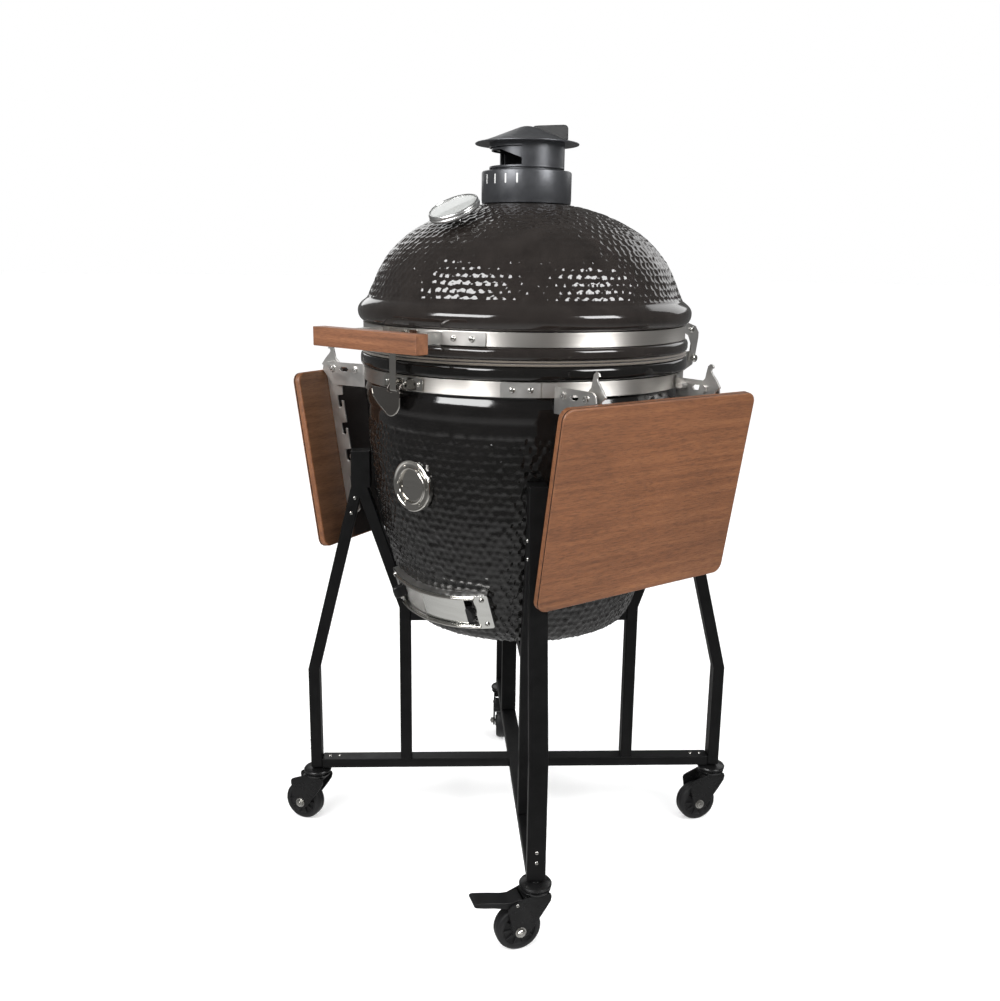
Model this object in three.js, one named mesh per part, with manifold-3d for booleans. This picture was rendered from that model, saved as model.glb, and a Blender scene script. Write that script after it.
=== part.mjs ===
// Kamado ceramic grill on a wheeled stand: hollow ceramic base and domed lid,
// steel bands, sprung rear hinge, front latch, draft door, top vent, two
// fold-down side shelves, a tube stand and four swivel casters.
// Millimetres, +Z up, front towards -Y. The grill's vertical axis is X = 0, Y = Y_AXIS.
import * as THREE from 'three';
import { mergeVertices } from 'three/addons/utils/BufferGeometryUtils.js';
import Module from 'manifold-3d';

const wasm = await Module();
wasm.setup();

// ---------------------------------------------------------------- dimensions
const Y_AXIS = 9;            // bowl axis relative to the middle of the footprint
const GAP = 0.3;             // running gap between touching pieces
const SEG = 32;              // facets round the ceramic

const R_BULGE = 292, Z_BULGE = 992;        // widest point, at the foot of the dome
const R_BAND = 283, BAND_T = 3;            // steel band outer radius and thickness
const R_SEAT = R_BAND - BAND_T - GAP;      // ceramic seat under each band
const Z_UB0 = 949.3, Z_UB1 = 972;          // upper band
const Z_LB0 = 873, Z_LB1 = 897;            // lower band
const Z_JOINT = 925;                       // split between lid and base
const R_LIP = 288;                         // rounded ceramic lips at the split
const FOOT_Z = 438, FOOT_R = 165;          // flat foot of the bowl
const COLLAR_R = 77.5, COLLAR_Z0 = 1171, COLLAR_Z1 = 1225;
const SLEEVE_R = 64.5, CAP_R = 89, CAP_Z = 1270, CAP_APEX = 1300;

const LEG_AZ = 45.7;         // leg azimuth from the front
const LEG_W = 30, LEG_T = 21;              // stand tube
const LEG_R = 397.5;                       // outer face of a leg
const LEG_Z0 = 117, LEG_BEND = 320, APEX_Z = 674, APEX_R = 310;
const STRUT_R = 224.8, STRUT_BEND = 442, BLOCK_TOP = 740;
const CROSS_Z0 = 116, CROSS_Z1 = 134;
const UX_Z0 = 417, UX_Z1 = 437.6;          // upper cross under the bowl

const SHELF_AZ = 77.7;       // azimuth of each shelf's middle
const SHELF_W = 401, SHELF_L = 322, SHELF_T = 15, SHELF_TILT = 9.37;
const SHELF_TOP = [365.3, 873.3];          // outer top edge (radius, height)
const SHELF_PIVOT = [328, 880];
const ARM_T = 120, BRK_T = 130;            // half spacing of arms and brackets

const WHEEL_R = 37.5, WHEEL_W = 25, TRAIL = 30, STEM_R = LEG_R - LEG_T / 2;

const DOOR_R = 221, DOOR_TILT = 19.07, DOOR_AXIS = [0, -26.3, 570.3];

// ---------------------------------------------------------------- helpers
const D = Math.PI / 180;
const mat = (color, roughness, metalness) => new THREE.MeshStandardMaterial({ color, roughness, metalness });
const M = {
  glaze: mat(0x2b2827, 0.2, 0.0), clay: mat(0xb9a58c, 0.9, 0.0), iron: mat(0x2a2a2a, 0.8, 0.4),
  steel: mat(0xc4c5c6, 0.3, 1.0), chrome: mat(0xdadada, 0.1, 1.0), wood: mat(0x8f5b40, 0.55, 0.0),
  felt: mat(0xb8ab95, 1.0, 0.0), vent: mat(0x3d3f42, 0.45, 0.4), black: mat(0x151515, 0.5, 0.2),
  plastic: mat(0x121212, 0.5, 0.0), dial: mat(0xd6d6d2, 0.4, 0.3), red: mat(0xa02018, 0.5, 0.0),
};

// closed mesh -> solid, with outward faces
function solid(geo) {
  let g = geo.clone();
  for (const a of ['normal', 'uv', 'uv1', 'tangent']) if (g.attributes[a]) g.deleteAttribute(a);
  if (g.groups) g.clearGroups();
  g = mergeVertices(g, 1e-4);
  const p = g.attributes.position, ix = g.index.array, tri = [];
  let vol = 0;
  for (let i = 0; i < ix.length; i += 3) {
    const [a, b, c] = [ix[i], ix[i + 1], ix[i + 2]];
    if (a === b || b === c || a === c) continue;
    tri.push(a, b, c);
    const A = [p.getX(a), p.getY(a), p.getZ(a)], B = [p.getX(b), p.getY(b), p.getZ(b)], C = [p.getX(c), p.getY(c), p.getZ(c)];
    vol += A[0] * (B[1] * C[2] - B[2] * C[1]) - A[1] * (B[0] * C[2] - B[2] * C[0]) + A[2] * (B[0] * C[1] - B[1] * C[0]);
  }
  if (vol < 0) for (let i = 0; i < tri.length; i += 3) { const t = tri[i]; tri[i] = tri[i + 1]; tri[i + 1] = t; }
  return new wasm.Manifold(new wasm.Mesh({ numProp: 3, vertProperties: new Float32Array(p.array), triVerts: new Uint32Array(tri) }));
}
const cut = (a, ...b) => b.reduce((s, x) => s.subtract(x), a);
const join = (a, ...b) => b.reduce((s, x) => s.add(x), a);
function geometryOf(m) {
  const me = m.getMesh(), n = me.numProp, vp = me.vertProperties, pos = new Float32Array(vp.length / n * 3);
  for (let i = 0; i < vp.length / n; i++) { pos[3 * i] = vp[n * i]; pos[3 * i + 1] = vp[n * i + 1]; pos[3 * i + 2] = vp[n * i + 2]; }
  const g = new THREE.BufferGeometry();
  g.setAttribute('position', new THREE.BufferAttribute(pos, 3));
  g.setIndex(new THREE.BufferAttribute(new Uint32Array(me.triVerts), 1));
  g.computeVertexNormals();
  return g;
}
// transform a geometry, then make it solid
const xf = (geo, m) => { const g = geo.clone(); g.applyMatrix4(m); return g; };
const T = (x, y, z) => new THREE.Matrix4().makeTranslation(x, y, z);
const RX = (a) => new THREE.Matrix4().makeRotationX(a * D), RY = (a) => new THREE.Matrix4().makeRotationY(a * D), RZ = (a) => new THREE.Matrix4().makeRotationZ(a * D);
const chain = (...ms) => ms.reduce((p, m) => p.multiply(m), new THREE.Matrix4());

// solid of revolution about Z from a closed [r, z] profile
function lathe(profile, seg = SEG) {
  const pts = profile.map(([r, z]) => new THREE.Vector2(Math.max(r, 0), z));
  const a = pts[0], b = pts[pts.length - 1];
  if (!(a.x < 1e-6 && b.x < 1e-6) && a.distanceTo(b) > 1e-6) pts.push(a.clone());
  return xf(new THREE.LatheGeometry(pts, seg), RX(90));
}
const box = (x0, x1, y0, y1, z0, z1) => xf(new THREE.BoxGeometry(x1 - x0, y1 - y0, z1 - z0), T((x0 + x1) / 2, (y0 + y1) / 2, (z0 + z1) / 2));
// cylinder along 'x', 'y' or 'z' centred at c
function cyl(r, h, c, axis = 'z', seg = 16, r2 = r) {
  const g = new THREE.CylinderGeometry(r2, r, h, seg);
  const m = axis === 'z' ? RX(90) : axis === 'x' ? RZ(-90) : new THREE.Matrix4();
  return xf(g, chain(T(...c), m));
}
// polygon [[a, b], ...] in the plane of two axes, extruded between lo and hi on the third
function prism(poly, lo, hi, plane = 'xy') {
  const s = new THREE.Shape(poly.map(([a, b]) => new THREE.Vector2(a, b)));
  const g = new THREE.ExtrudeGeometry(s, { depth: hi - lo, bevelEnabled: false, steps: 1, curveSegments: 1 });
  g.translate(0, 0, lo);
  if (plane === 'xz') return xf(g, new THREE.Matrix4().set(1, 0, 0, 0, 0, 0, 1, 0, 0, 1, 0, 0, 0, 0, 0, 1));
  if (plane === 'yz') return xf(g, new THREE.Matrix4().set(0, 0, 1, 0, 1, 0, 0, 0, 0, 1, 0, 0, 0, 0, 0, 1));
  return g;
}
// azimuth A (degrees) from -Y towards +X
const at = (A, r) => [r * Math.sin(A * D), -r * Math.cos(A * D)];
// piece of a ring wall between azimuths
function arc(r0, r1, a0, a1, z0, z1, n = 8) {
  const p = [];
  for (let i = 0; i <= n; i++) p.push(at(a0 + (a1 - a0) * i / n, r1));
  for (let i = n; i >= 0; i--) p.push(at(a0 + (a1 - a0) * i / n, r0));
  return prism(p, z0, z1);
}
function roundedRect(x0, x1, y0, y1, r, n = 5) {
  const p = [], c = [[x1 - r, y1 - r, 0], [x0 + r, y1 - r, 90], [x0 + r, y0 + r, 180], [x1 - r, y0 + r, 270]];
  for (const [cx, cy, a] of c) for (let i = 0; i <= n; i++) p.push([cx + r * Math.cos((a + 90 * i / n) * D), cy + r * Math.sin((a + 90 * i / n) * D)]);
  return p;
}
const root = new THREE.Group();
root.position.set(0, Y_AXIS, 0);
function group(parent, matrix) { const g = new THREE.Group(); g.matrixAutoUpdate = false; g.matrix.copy(matrix); parent.add(g); return g; }
function part(name, m, material, parent = root) {
  const me = new THREE.Mesh(m.isBufferGeometry ? geometryOf(solid(m)) : geometryOf(m), material);
  me.name = name;
  parent.add(me);
  return me;
}

// ---------------------------------------------------------------- ceramic lid
const WALL = 24;
const domeOut = [[R_LIP - 2, 930], [R_LIP, 934], [R_LIP, 943], [R_LIP - 3, 948.5], [R_SEAT, 949], [R_SEAT, 973], [287, 976], [R_BULGE, Z_BULGE - 4],
  [R_BULGE - 1.6, 999], [283, 1006], [275.5, 1013], [263.5, 1040], [242.5, 1080], [226, 1100], [204, 1120], [180, 1136], [150, 1151], [122, 1161.5], [76, 1170.7]];
const domeIn = [[56, 1170.7], [56, 1150], [96, 1143], [140, 1126], [184, 1098], [222, 1056], [247, 1004], [256, 930]];
const dome = solid(lathe([...domeOut, ...domeIn]));
// thermometer axis: normal to the dome at its foot
const TH_N = [0.486, 0.874], TH_BASE = [169.3, 1141.3];
const thM = chain(T(0, -TH_BASE[0], TH_BASE[1]), RX(Math.atan2(TH_N[0], TH_N[1]) / D));
part('dome', cut(dome, solid(xf(cyl(7, 90, [0, 0, 0], 'z', 12), thM))), M.glaze);

// ---------------------------------------------------------------- ceramic base
const bowlOut = [[FOOT_R, FOOT_Z], [184, 440.5], [198, 447], [211, 470], [221.5, 500], [245.5, 580], [264.5, 660], [270.5, 700], [276.5, 780], [278.5, 822], [R_SEAT, 832], [R_SEAT, 898], [R_LIP - 3, 898.6], [R_LIP, 903], [R_LIP, 914], [R_LIP - 2, 919.6]];
const bowlIn = [[256, 919.6], [252, 780], [247, 700], [222, 580], [206, 530], [186, 490], [160, 468], [120, 462], [0, 462]];
const bowlBody = solid(lathe([[0, FOOT_Z], ...bowlOut, ...bowlIn]));
const doorM = chain(T(...DOOR_AXIS), RX(DOOR_TILT));
// air inlet through the front wall
const inlet = solid(xf(box(-62, 62, -240, -120, -20, 20), doorM));
part('bowl', cut(bowlBody, inlet), M.glaze);
const bowlHull = solid(lathe([[0, FOOT_Z - 1], ...bowlOut.map(([r, z]) => [r + 0.5, z]), [0, 919.6]]));

// inner ceramics and grates
const fireOut = [[0, 462.4], [118, 462.4], [150, 467.5], [176, 490], [196, 530], [212, 580], [236, 700], [240, 748]];
const fireIn = [[214, 748], [210, 700], [186, 580], [176, 552], [164, 552], [140, 494], [0, 494]];
const firebox = solid(lathe([...fireOut, ...fireIn], 24));
const port = solid(box(-58, 58, -230, -110, 494, 520));
const holes = [0, 60, 120, 180, 240, 300].map((a) => solid(cyl(11, 80, [70 * Math.cos(a * D), 70 * Math.sin(a * D), 480], 'z', 6)));
part('firebox', cut(firebox, port, ...holes), M.clay);
part('fire_ring', lathe([[214, 748.4], [240, 748.4], [244, 800], [246, 852], [222, 852], [219, 800]], 24), M.clay);
const grateDisc = solid(lathe([[0, 552.4], [172, 552.4], [172, 562], [0, 562]], 24));
const slots = [];
for (let i = -2; i <= 2; i++) { const y = i * 56, h = Math.sqrt(150 * 150 - y * y); slots.push(solid(box(-h, -6, y - 12, y + 12, 545, 570)), solid(box(6, h, y - 9, y + 9, 545, 570))); }
part('charcoal_grate', cut(grateDisc, ...slots), M.iron);
let grid = solid(lathe([[236, 852.4], [242, 852.4], [242, 858.4], [236, 858.4]], 24));
for (let i = -4; i <= 4; i++) { const y = i * 48, h = Math.sqrt(237 * 237 - (Math.abs(y) + 3) ** 2); grid = grid.add(solid(box(-h, h, y - 3, y + 3, 853.1, 857.9))); }
grid = grid.add(solid(box(-3.2, 3.2, -237.4, 237.4, 853.6, 857.3)));
part('cooking_grate', grid, M.steel);

// felt gaskets either side of the split
part('lid_gasket', lathe([[258, Z_JOINT + GAP], [R_LIP - 1.5, Z_JOINT + GAP], [R_LIP - 1.5, 929.7], [258, 929.7]], SEG), M.felt);
part('base_gasket', lathe([[258, 919.9], [R_LIP - 1.5, 919.9], [R_LIP - 1.5, Z_JOINT - GAP], [258, Z_JOINT - GAP]], SEG), M.felt);

// ---------------------------------------------------------------- bands
const ring = (z0, z1) => solid(lathe([[R_SEAT + GAP, z0], [R_BAND, z0], [R_BAND, z1], [R_SEAT + GAP, z1]], SEG));
const R1 = R_BAND + 0.6;                       // clips stand on the band's outer face
const boltOn = (A, z, r = R1 + 3, rad = 4.2, h = 4) => solid(xf(cyl(rad, h + 1.2, [0, -(r + h / 2 - 0.6), z], 'y', 8), RZ(A)));
part('upper_band', ring(Z_UB0, Z_UB1), M.steel);
const clamp = join(solid(arc(R_BAND - 1, R_BAND + 3, 33.6, 46.1, Z_LB0 + 0.4, Z_LB1 - 0.2, 4)), boltOn(37.3, 885, R_BAND + 3), boltOn(43, 885, R_BAND + 3));
part('lower_band', join(ring(Z_LB0, Z_LB1), clamp), M.steel);

// ---------------------------------------------------------------- lid handle
const HX = 118, HY0 = -376, HY1 = -351, HZ0 = 942, HZ1 = 972;
const barPoly = roundedRect(HY0, HY1, HZ0, HZ1, 3, 2);
part('handle_bar', prism(barPoly, -HX, HX, 'yz'), M.wood);
for (const s of [1, -1]) {
  const a = solid(arc(R1, R1 + 3, Math.min(s * 13.2, s * 29), Math.max(s * 13.2, s * 29), Z_UB0 + 0.6, Z_UB1 - 0.8, 5));
  const strap = [at(13.2, R1 + 0.2), at(14.7, R1 + 1.6), [77, HY1 + 1.2], [73.8, HY1 + 1.2]];
  const st = solid(prism(strap.map(([x, y]) => [s * x, y]), Z_UB0 + 2, Z_UB1 - 2));
  const tab = solid(box(Math.min(s * 50, s * 77), Math.max(s * 50, s * 77), HY1 + GAP, HY1 + GAP + 3.2, Z_UB0 + 2, Z_UB1 - 2));
  part(s > 0 ? 'handle_bracket_right' : 'handle_bracket_left', join(a, st, tab, boltOn(s * 18.5, 960.5), boltOn(s * 24.6, 960.5)), M.steel);
}

// ---------------------------------------------------------------- rear hinge
const HG = [340, 897];                         // hinge axis (Y, Z)
const HXC = 138;                               // cheek position
function cheeks(poly) { return [1, -1].map((s) => solid(prism(poly, s > 0 ? HXC : -HXC - 3, s > 0 ? HXC + 3 : -HXC, 'yz'))); }
const upPoly = [[249, 950.6], [249, 971], [296, 971], [346, 958], [357.6, 946], [357.6, 936], [350, 904], [350, 892], [330, 892], [330, 904], [334, 925], [324, 941], [300, 950.6]];
const lowPoly = [[249, 874], [249, 895.6], [300, 895.6], [322, 910], [348, 910], [352, 898], [348, 884], [318, 874]];
const hinU = cheeks(upPoly), hinL = cheeks(lowPoly).map((m, i) => m.translate([i ? 4.4 : -4.4, 0, 0]));
const hingeHole = solid(cyl(5.1, 400, [0, HG[0], HG[1]], 'x', 14));
part('hinge_upper_bracket', cut(join(solid(arc(R1, R1 + 3, 148.5, 211.5, Z_UB0 + 0.6, Z_UB1 - 0.8, 12)), ...hinU), hingeHole), M.steel);
part('hinge_lower_bracket', cut(join(solid(arc(R1, R1 + 3, 149.5, 210.5, Z_LB0 + 0.6, Z_LB1 - 1, 12)), ...hinL), hingeHole), M.steel);
part('hinge_pin', join(solid(cyl(4.8, 2 * (HXC + 9), [0, HG[0], HG[1]], 'x', 14)), solid(cyl(8, 4, [HXC + 7, HG[0], HG[1]], 'x', 8)), solid(cyl(8, 4, [-HXC - 7, HG[0], HG[1]], 'x', 8))), M.steel);
for (const s of [1, -1]) {
  const g = cut(solid(cyl(10.5, 92, [s * 76, HG[0], HG[1]], 'x', 14)), solid(cyl(5.4, 100, [s * 76, HG[0], HG[1]], 'x', 14)));
  part(s > 0 ? 'hinge_spring_right' : 'hinge_spring_left', g, M.steel);
}

// ---------------------------------------------------------------- front latch
const LP = [-297, 883];                        // lever axis (Y, Z)
const base0 = solid(arc(R1, R1 + 2.6, -11.6, 7.2, Z_LB0 + 2, Z_LB1 - 2, 5));
const lug = (x) => solid(prism([[-285, 876], [-285, 892], [-297, 891], [-301.5, 887], [-301.5, 879], [-297, 875.5]], x, x + 2.4, 'yz'));
part('latch_base', join(base0, lug(-26.8), lug(8.4), solid(cyl(2.6, 37.6, [-8, LP[0], LP[1]], 'x', 10)), boltOn(-10.6, 884, R1 + 2.6, 3.6, 3)), M.chrome);
// curved paddle: a plate concentric with the base, cut to a rounded tongue
const tongue = [[-80, 874.5], [-4, 874.5], [-1, 862], [-1.5, 851], [-6, 841], [-14, 834], [-24, 831], [-34, 833], [-44, 840], [-56, 848], [-68, 855], [-77, 864]];
const shell = solid(arc(R_BAND + 14, R_BAND + 16.4, -30, 12, 820, 890, 14));
const paddle = shell.intersect(solid(prism(tongue, -330, -240, 'xz')));
const PIN = [-303, 876];                       // hook pin, carried by the lever below its pivot
const neck = solid(box(-24, 7, -299.2, -296.4, 870, 875));
const sideEye = [-24, 4].map((x) => solid(prism([[-292.6, 886], [-294.6, 888.4], [-299.4, 888.4], [-301.6, 885], [-306.4, 878], [-306.4, 873.6], [-304, 871.2], [-292.8, 870.8]], x, x + 3, 'yz')));
const lever = cut(join(paddle, neck, ...sideEye, solid(cyl(1.9, 31, [-8.5, PIN[0], PIN[1]], 'x', 8))), solid(cyl(2.9, 60, [-8, LP[0], LP[1]], 'x', 10)));
part('latch_lever', lever, M.chrome);
// hook strap hanging on the lever's cross pin, its claw over the keeper
const hookPlate = prism([[-306.8, 876], [-306.8, 956.4], [-301.0, 956.4], [-301.0, 953.6], [-304.4, 953.6], [-304.4, 879.4], [-302, 879.2], [-300, 877.4], [-299.9, 874.8], [-301.6, 873], [-304.2, 872.9], [-306.2, 874]], -16, -1, 'yz');
part('latch_hook', cut(solid(hookPlate), solid(cyl(2.2, 60, [-8, PIN[0], PIN[1]], 'x', 8))), M.chrome);
part('latch_keeper', join(solid(arc(R1, R1 + 2.6, -8, 5, Z_UB0 + 1, Z_UB1 - 2, 4)), solid(box(-17, 0, -299.6, -284.4, 950.3, 952.9))), M.chrome);

// ---------------------------------------------------------------- thermometer
const thG = group(root, thM);
const thCase = cut(solid(lathe([[0, -44], [3, -44], [3, -2], [6.6, -2], [6.6, 2.5], [37, 2.5], [38, 12], [43.4, 14], [43.4, 22], [40.6, 24], [39, 24], [39, 17], [0, 17]], 24)));
part('thermometer_case', thCase, M.steel, thG);
part('thermometer_needle', join(solid(prism([[-2.2, -8], [2.2, -8], [0.7, 29], [-0.7, 29]], 18, 18.8)), solid(cyl(3.4, 2, [0, 0, 18.8], 'z', 12))), M.red, thG);
part('thermometer_lens', lathe([[0, 21.4], [38.6, 21.4], [38.6, 23.2], [0, 23.2]], 24), M.dial, thG);

// ---------------------------------------------------------------- top vent
const win = (r0, r1, a0, a1, z0, z1, n) => solid(arc(r0, r1, a0, a1, z0, z1, n));
const base1 = solid(lathe([[55, COLLAR_Z0], [COLLAR_R, COLLAR_Z0], [COLLAR_R, COLLAR_Z1 - 2], [COLLAR_R - 2, COLLAR_Z1], [69, COLLAR_Z1], [69, COLLAR_Z0 + 12], [61, COLLAR_Z0 + 12], [61, 1262], [58, 1262], [58, COLLAR_Z0 + 6], [55, COLLAR_Z0 + 6]], 32));
// wedge-shaped opening of the fixed inner sleeve, unrolled on the facing side
const wedge = [[-58, 1233], [47, 1233], [47, 1237], [-6, 1258.5], [-58, 1258.5]];
const wedgeCut = (() => { let m = null; const step = 12; for (let a = -98; a < 50; a += step) { const a1 = Math.min(a + step, 50); const top = (x) => x < -6 ? 1258.5 : 1258.5 - (x + 6) * 21.5 / 53; const t0 = top(a), t1 = top(a1); const q = solid(xf(prism([[a, 1233], [a1 + 0.01, 1233], [a1 + 0.01, t1], [a, t0]], 50, 66, 'xy'), new THREE.Matrix4())); m = m ? m : []; m.push([a, a1, t0, t1]); } return m; })();
let ventBase = base1;
for (const [a0, a1, t0, t1] of wedgeCut) {
  const p = [[0, 0, 0], [...at(a0, 66), 0], [...at(a1 + 0.02, 66), 0]];
  const tri = new THREE.BufferGeometry();
  const v = [at(a0, 50), at(a1 + 0.02, 50), at(a1 + 0.02, 67), at(a0, 67)];
  const lo = v.map(([x, y]) => [x, y, 1233]), hi = [[...v[0], t0], [...v[1], t1], [...v[2], t1], [...v[3], t0]];
  const P = [...lo, ...hi].flat();
  tri.setAttribute('position', new THREE.BufferAttribute(new Float32Array(P), 3));
  tri.setIndex([0, 2, 1, 0, 3, 2, 4, 5, 6, 4, 6, 7, 0, 1, 5, 0, 5, 4, 1, 2, 6, 1, 6, 5, 2, 3, 7, 2, 7, 6, 3, 0, 4, 3, 4, 7]);
  ventBase = ventBase.subtract(solid(tri));
}
part('vent_base', ventBase, M.vent);
const capShell = solid(lathe([[0, CAP_APEX - 3.5], [12, CAP_APEX - 4.5], [60, 1278.5], [61.6, 1277.5], [61.6, CAP_Z - 41], [SLEEVE_R, CAP_Z - 41], [SLEEVE_R, 1273.5], [88, 1268.6], [CAP_R, 1269.2], [CAP_R - 0.6, 1271.2], [66, 1277.4], [40, 1288], [16, 1297.6], [0, CAP_APEX]], 32));
const finPoly = [[9, 1298.2], [14, 1300.2], [66, 1301.4], [69, 1299], [70, 1277.6], [67, 1276], [40, 1286.8], [12, 1297]];
const fin = solid(xf(prism(finPoly, -3.5, 3.5, 'xz'), RZ(120 - 90)));
part('vent_cap', join(cut(capShell, win(59, 67, -92, 33, 1232.5, 1264.5, 10)), fin), M.vent);

// ---------------------------------------------------------------- front badge
const BY = -273.4, BZ = 716;
const disc = (prof, seg) => solid(xf(new THREE.LatheGeometry(prof.map(([r, z]) => new THREE.Vector2(r, z)), seg), T(0, BY, BZ).multiply(RX(180))));
part('badge_ring', cut(disc([[27.4, -6], [43, -6], [43, 3], [41, 4], [37, 2.6], [31, 2.6], [30, 5], [27.4, 5], [27.4, -6]], 24), bowlHull), M.chrome);
part('badge_disc', cut(disc([[0, -6], [27, -6], [27, 1.8], [0, 1.8]], 24), bowlHull), M.chrome);

// ---------------------------------------------------------------- draft door
const drG = group(root, doorM);
const hullLocal = (() => { // the bowl's outside in the door's own frame
  const inv = doorM.clone().invert();
  return solid(xf(lathe([[0, FOOT_Z - 1], ...bowlOut.map(([r, z]) => [r + 0.5, z]), [0, 919.6]]), inv));
})();
let frame = solid(arc(196, DOOR_R, -31.4, 31.4, -33, 33, 8));
frame = cut(frame, solid(arc(190, DOOR_R - 2, -30.7, 30.7, -30.8, 30.8, 8)), solid(arc(180, 230, -24.6, 24.6, -25.5, 25.5, 8)), hullLocal);
const rail = (w) => solid(arc(DOOR_R - 1, DOOR_R + 4, -25.4, 25.4, w - 2.6, w + 2.6, 8));
frame = join(frame, rail(28.6), rail(-28.6));
const bolt2 = (A, w) => solid(xf(cyl(4.4, 4, [0, -(DOOR_R + 1.4), w], 'y', 8), RZ(A)));
frame = join(frame, bolt2(28.4, 24), bolt2(28.4, -24), bolt2(-28.4, 24), bolt2(-28.4, -24));
const piecesOf = (m) => m.decompose ? m.decompose().sort((a, b) => b.volume() - a.volume()) : [m];
part('draft_frame', piecesOf(frame)[0], M.steel, drG);
part('draft_door', arc(DOOR_R - 4.4, DOOR_R - 3, -4.4, 19.6, -28.4, 28.4, 6), M.steel, drG);
const knobPoly = [[-4.6, -14], [2, -13.4], [6, -9], [7.6, 0], [6, 9], [2, 13.4], [-4.6, 14]];
part('draft_door_knob', xf(prism(knobPoly.map(([x, z]) => [x, z]), -14, -2.4, 'xz'), chain(RZ(22.2), T(0, -(DOOR_R - 3) + 0, 0))), M.plastic, drG);
let screen = solid(arc(DOOR_R - 8.6, DOOR_R - 7.4, -29.6, -6.2, -28.4, 28.4, 6));
part('draft_screen', screen, M.steel, drG);
part('draft_screen_knob', xf(prism(roundedRect(-5, 5, -12, 12, 4.6, 2), -23.4, -0.3, 'xz'), chain(RZ(-23.2), T(0, -(DOOR_R - 7.4), 0))), M.plastic, drG);

// ---------------------------------------------------------------- stand
const legM = (A) => new THREE.Matrix4().makeBasis(new THREE.Vector3(...at(A, 1), 0), new THREE.Vector3(0, 0, 1), new THREE.Vector3(-Math.cos(A * D), -Math.sin(A * D), 0));
const tO = LEG_T, k = LEG_T * 1.03;
const outerLeg = [[LEG_R, LEG_Z0], [LEG_R, LEG_BEND], [APEX_R, APEX_Z], [APEX_R - k, APEX_Z], [LEG_R - tO, LEG_BEND - 2.6], [LEG_R - tO, LEG_Z0]];
const strut = [[STRUT_R, CROSS_Z1 + GAP], [STRUT_R, STRUT_BEND], [302, APEX_Z], [280, APEX_Z], [STRUT_R - tO, STRUT_BEND + 3.4], [STRUT_R - tO, CROSS_Z1 + GAP]];
const block = [[274.5, 672], [APEX_R, 672], [APEX_R, BLOCK_TOP], [274.8, BLOCK_TOP]];
const legs = [['front_right', LEG_AZ], ['front_left', -LEG_AZ], ['rear_right', 180 - LEG_AZ], ['rear_left', 180 + LEG_AZ]];
for (const [n, A] of legs) {
  const m = legM(A);
  const s = [outerLeg, strut, block].map((p) => solid(xf(prism(p, -LEG_W / 2, LEG_W / 2), m)));
  part('leg_' + n, cut(join(...s), bowlHull), M.black);
}
const bar = (A, r0, r1, z0, z1) => solid(xf(box(-LEG_W / 2, LEG_W / 2, -r1, -r0, z0, z1), RZ(A)));
const crossOf = (r, z0, z1) => join(...legs.map(([, A]) => bar(A, -12, r, z0, z1)));
part('lower_cross', crossOf(LEG_R - tO - GAP, CROSS_Z0, CROSS_Z1), M.black);
part('upper_cross', crossOf(STRUT_R - tO - GAP, UX_Z0, UX_Z1), M.black);

// ---------------------------------------------------------------- side shelves
// shelf frame: local X outward (radius), local Y tangential, Z up
const sT = SHELF_TILT * D, dn = [-Math.sin(sT), -Math.cos(sT)], inw = [-Math.cos(sT), Math.sin(sT)];
const Q0 = [SHELF_TOP[0] + inw[0] * SHELF_T, SHELF_TOP[1] + inw[1] * SHELF_T];
const uv = (u, v) => [Q0[0] + dn[0] * u + inw[0] * v, Q0[1] + dn[1] * u + inw[1] * v];
// J-shaped notches along the arm's inner edge
function armPoly() {
  const p = [uv(3, 0.4), [350.1, 877.6], [360.4, 885], [352, 896], [343, 905], [339.4, 910], [340.6, 914.4], [345.4, 914.2], [343.2, 919.2], [337.6, 920.8], [332.4, 917.4], [330, 908], [327.6, 897.6], [317, 887.5], [314, 876]];
  for (const u of [50.2, 101.7, 151.7, 203.2]) p.push(uv(u, 29.6), uv(u, 17.4), uv(u + 20, 17.4), uv(u + 23, 21), uv(u + 20, 24.6), uv(u + 10.4, 24.8), uv(u + 11, 29.6));
  p.push(uv(266, 29.6), uv(272, 23), uv(272, 0.4));
  return p;
}
const arm = cut(solid(prism(armPoly(), ARM_T - 1.5, ARM_T + 1.5, 'xz')), solid(cyl(4.8, 20, [SHELF_PIVOT[0], ARM_T, SHELF_PIVOT[1]], 'y', 8)));
const boardPoly = roundedRect(-SHELF_W / 2, SHELF_W / 2, 0, SHELF_L, 17, 3);
const boardM = new THREE.Matrix4().makeBasis(new THREE.Vector3(0, 1, 0), new THREE.Vector3(dn[0], 0, dn[1]), new THREE.Vector3(inw[0], 0, inw[1])).setPosition(SHELF_TOP[0], 0, SHELF_TOP[1]);
const board = solid(xf(prism(boardPoly, 0, SHELF_T), boardM));
const brkPoly = [[254.2, 850], [254.2, 891.5], [342, 891.5], [348.5, 886], [350, 876], [325, 850]];
const a0 = Math.asin(BRK_T / R1) / D;
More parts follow.
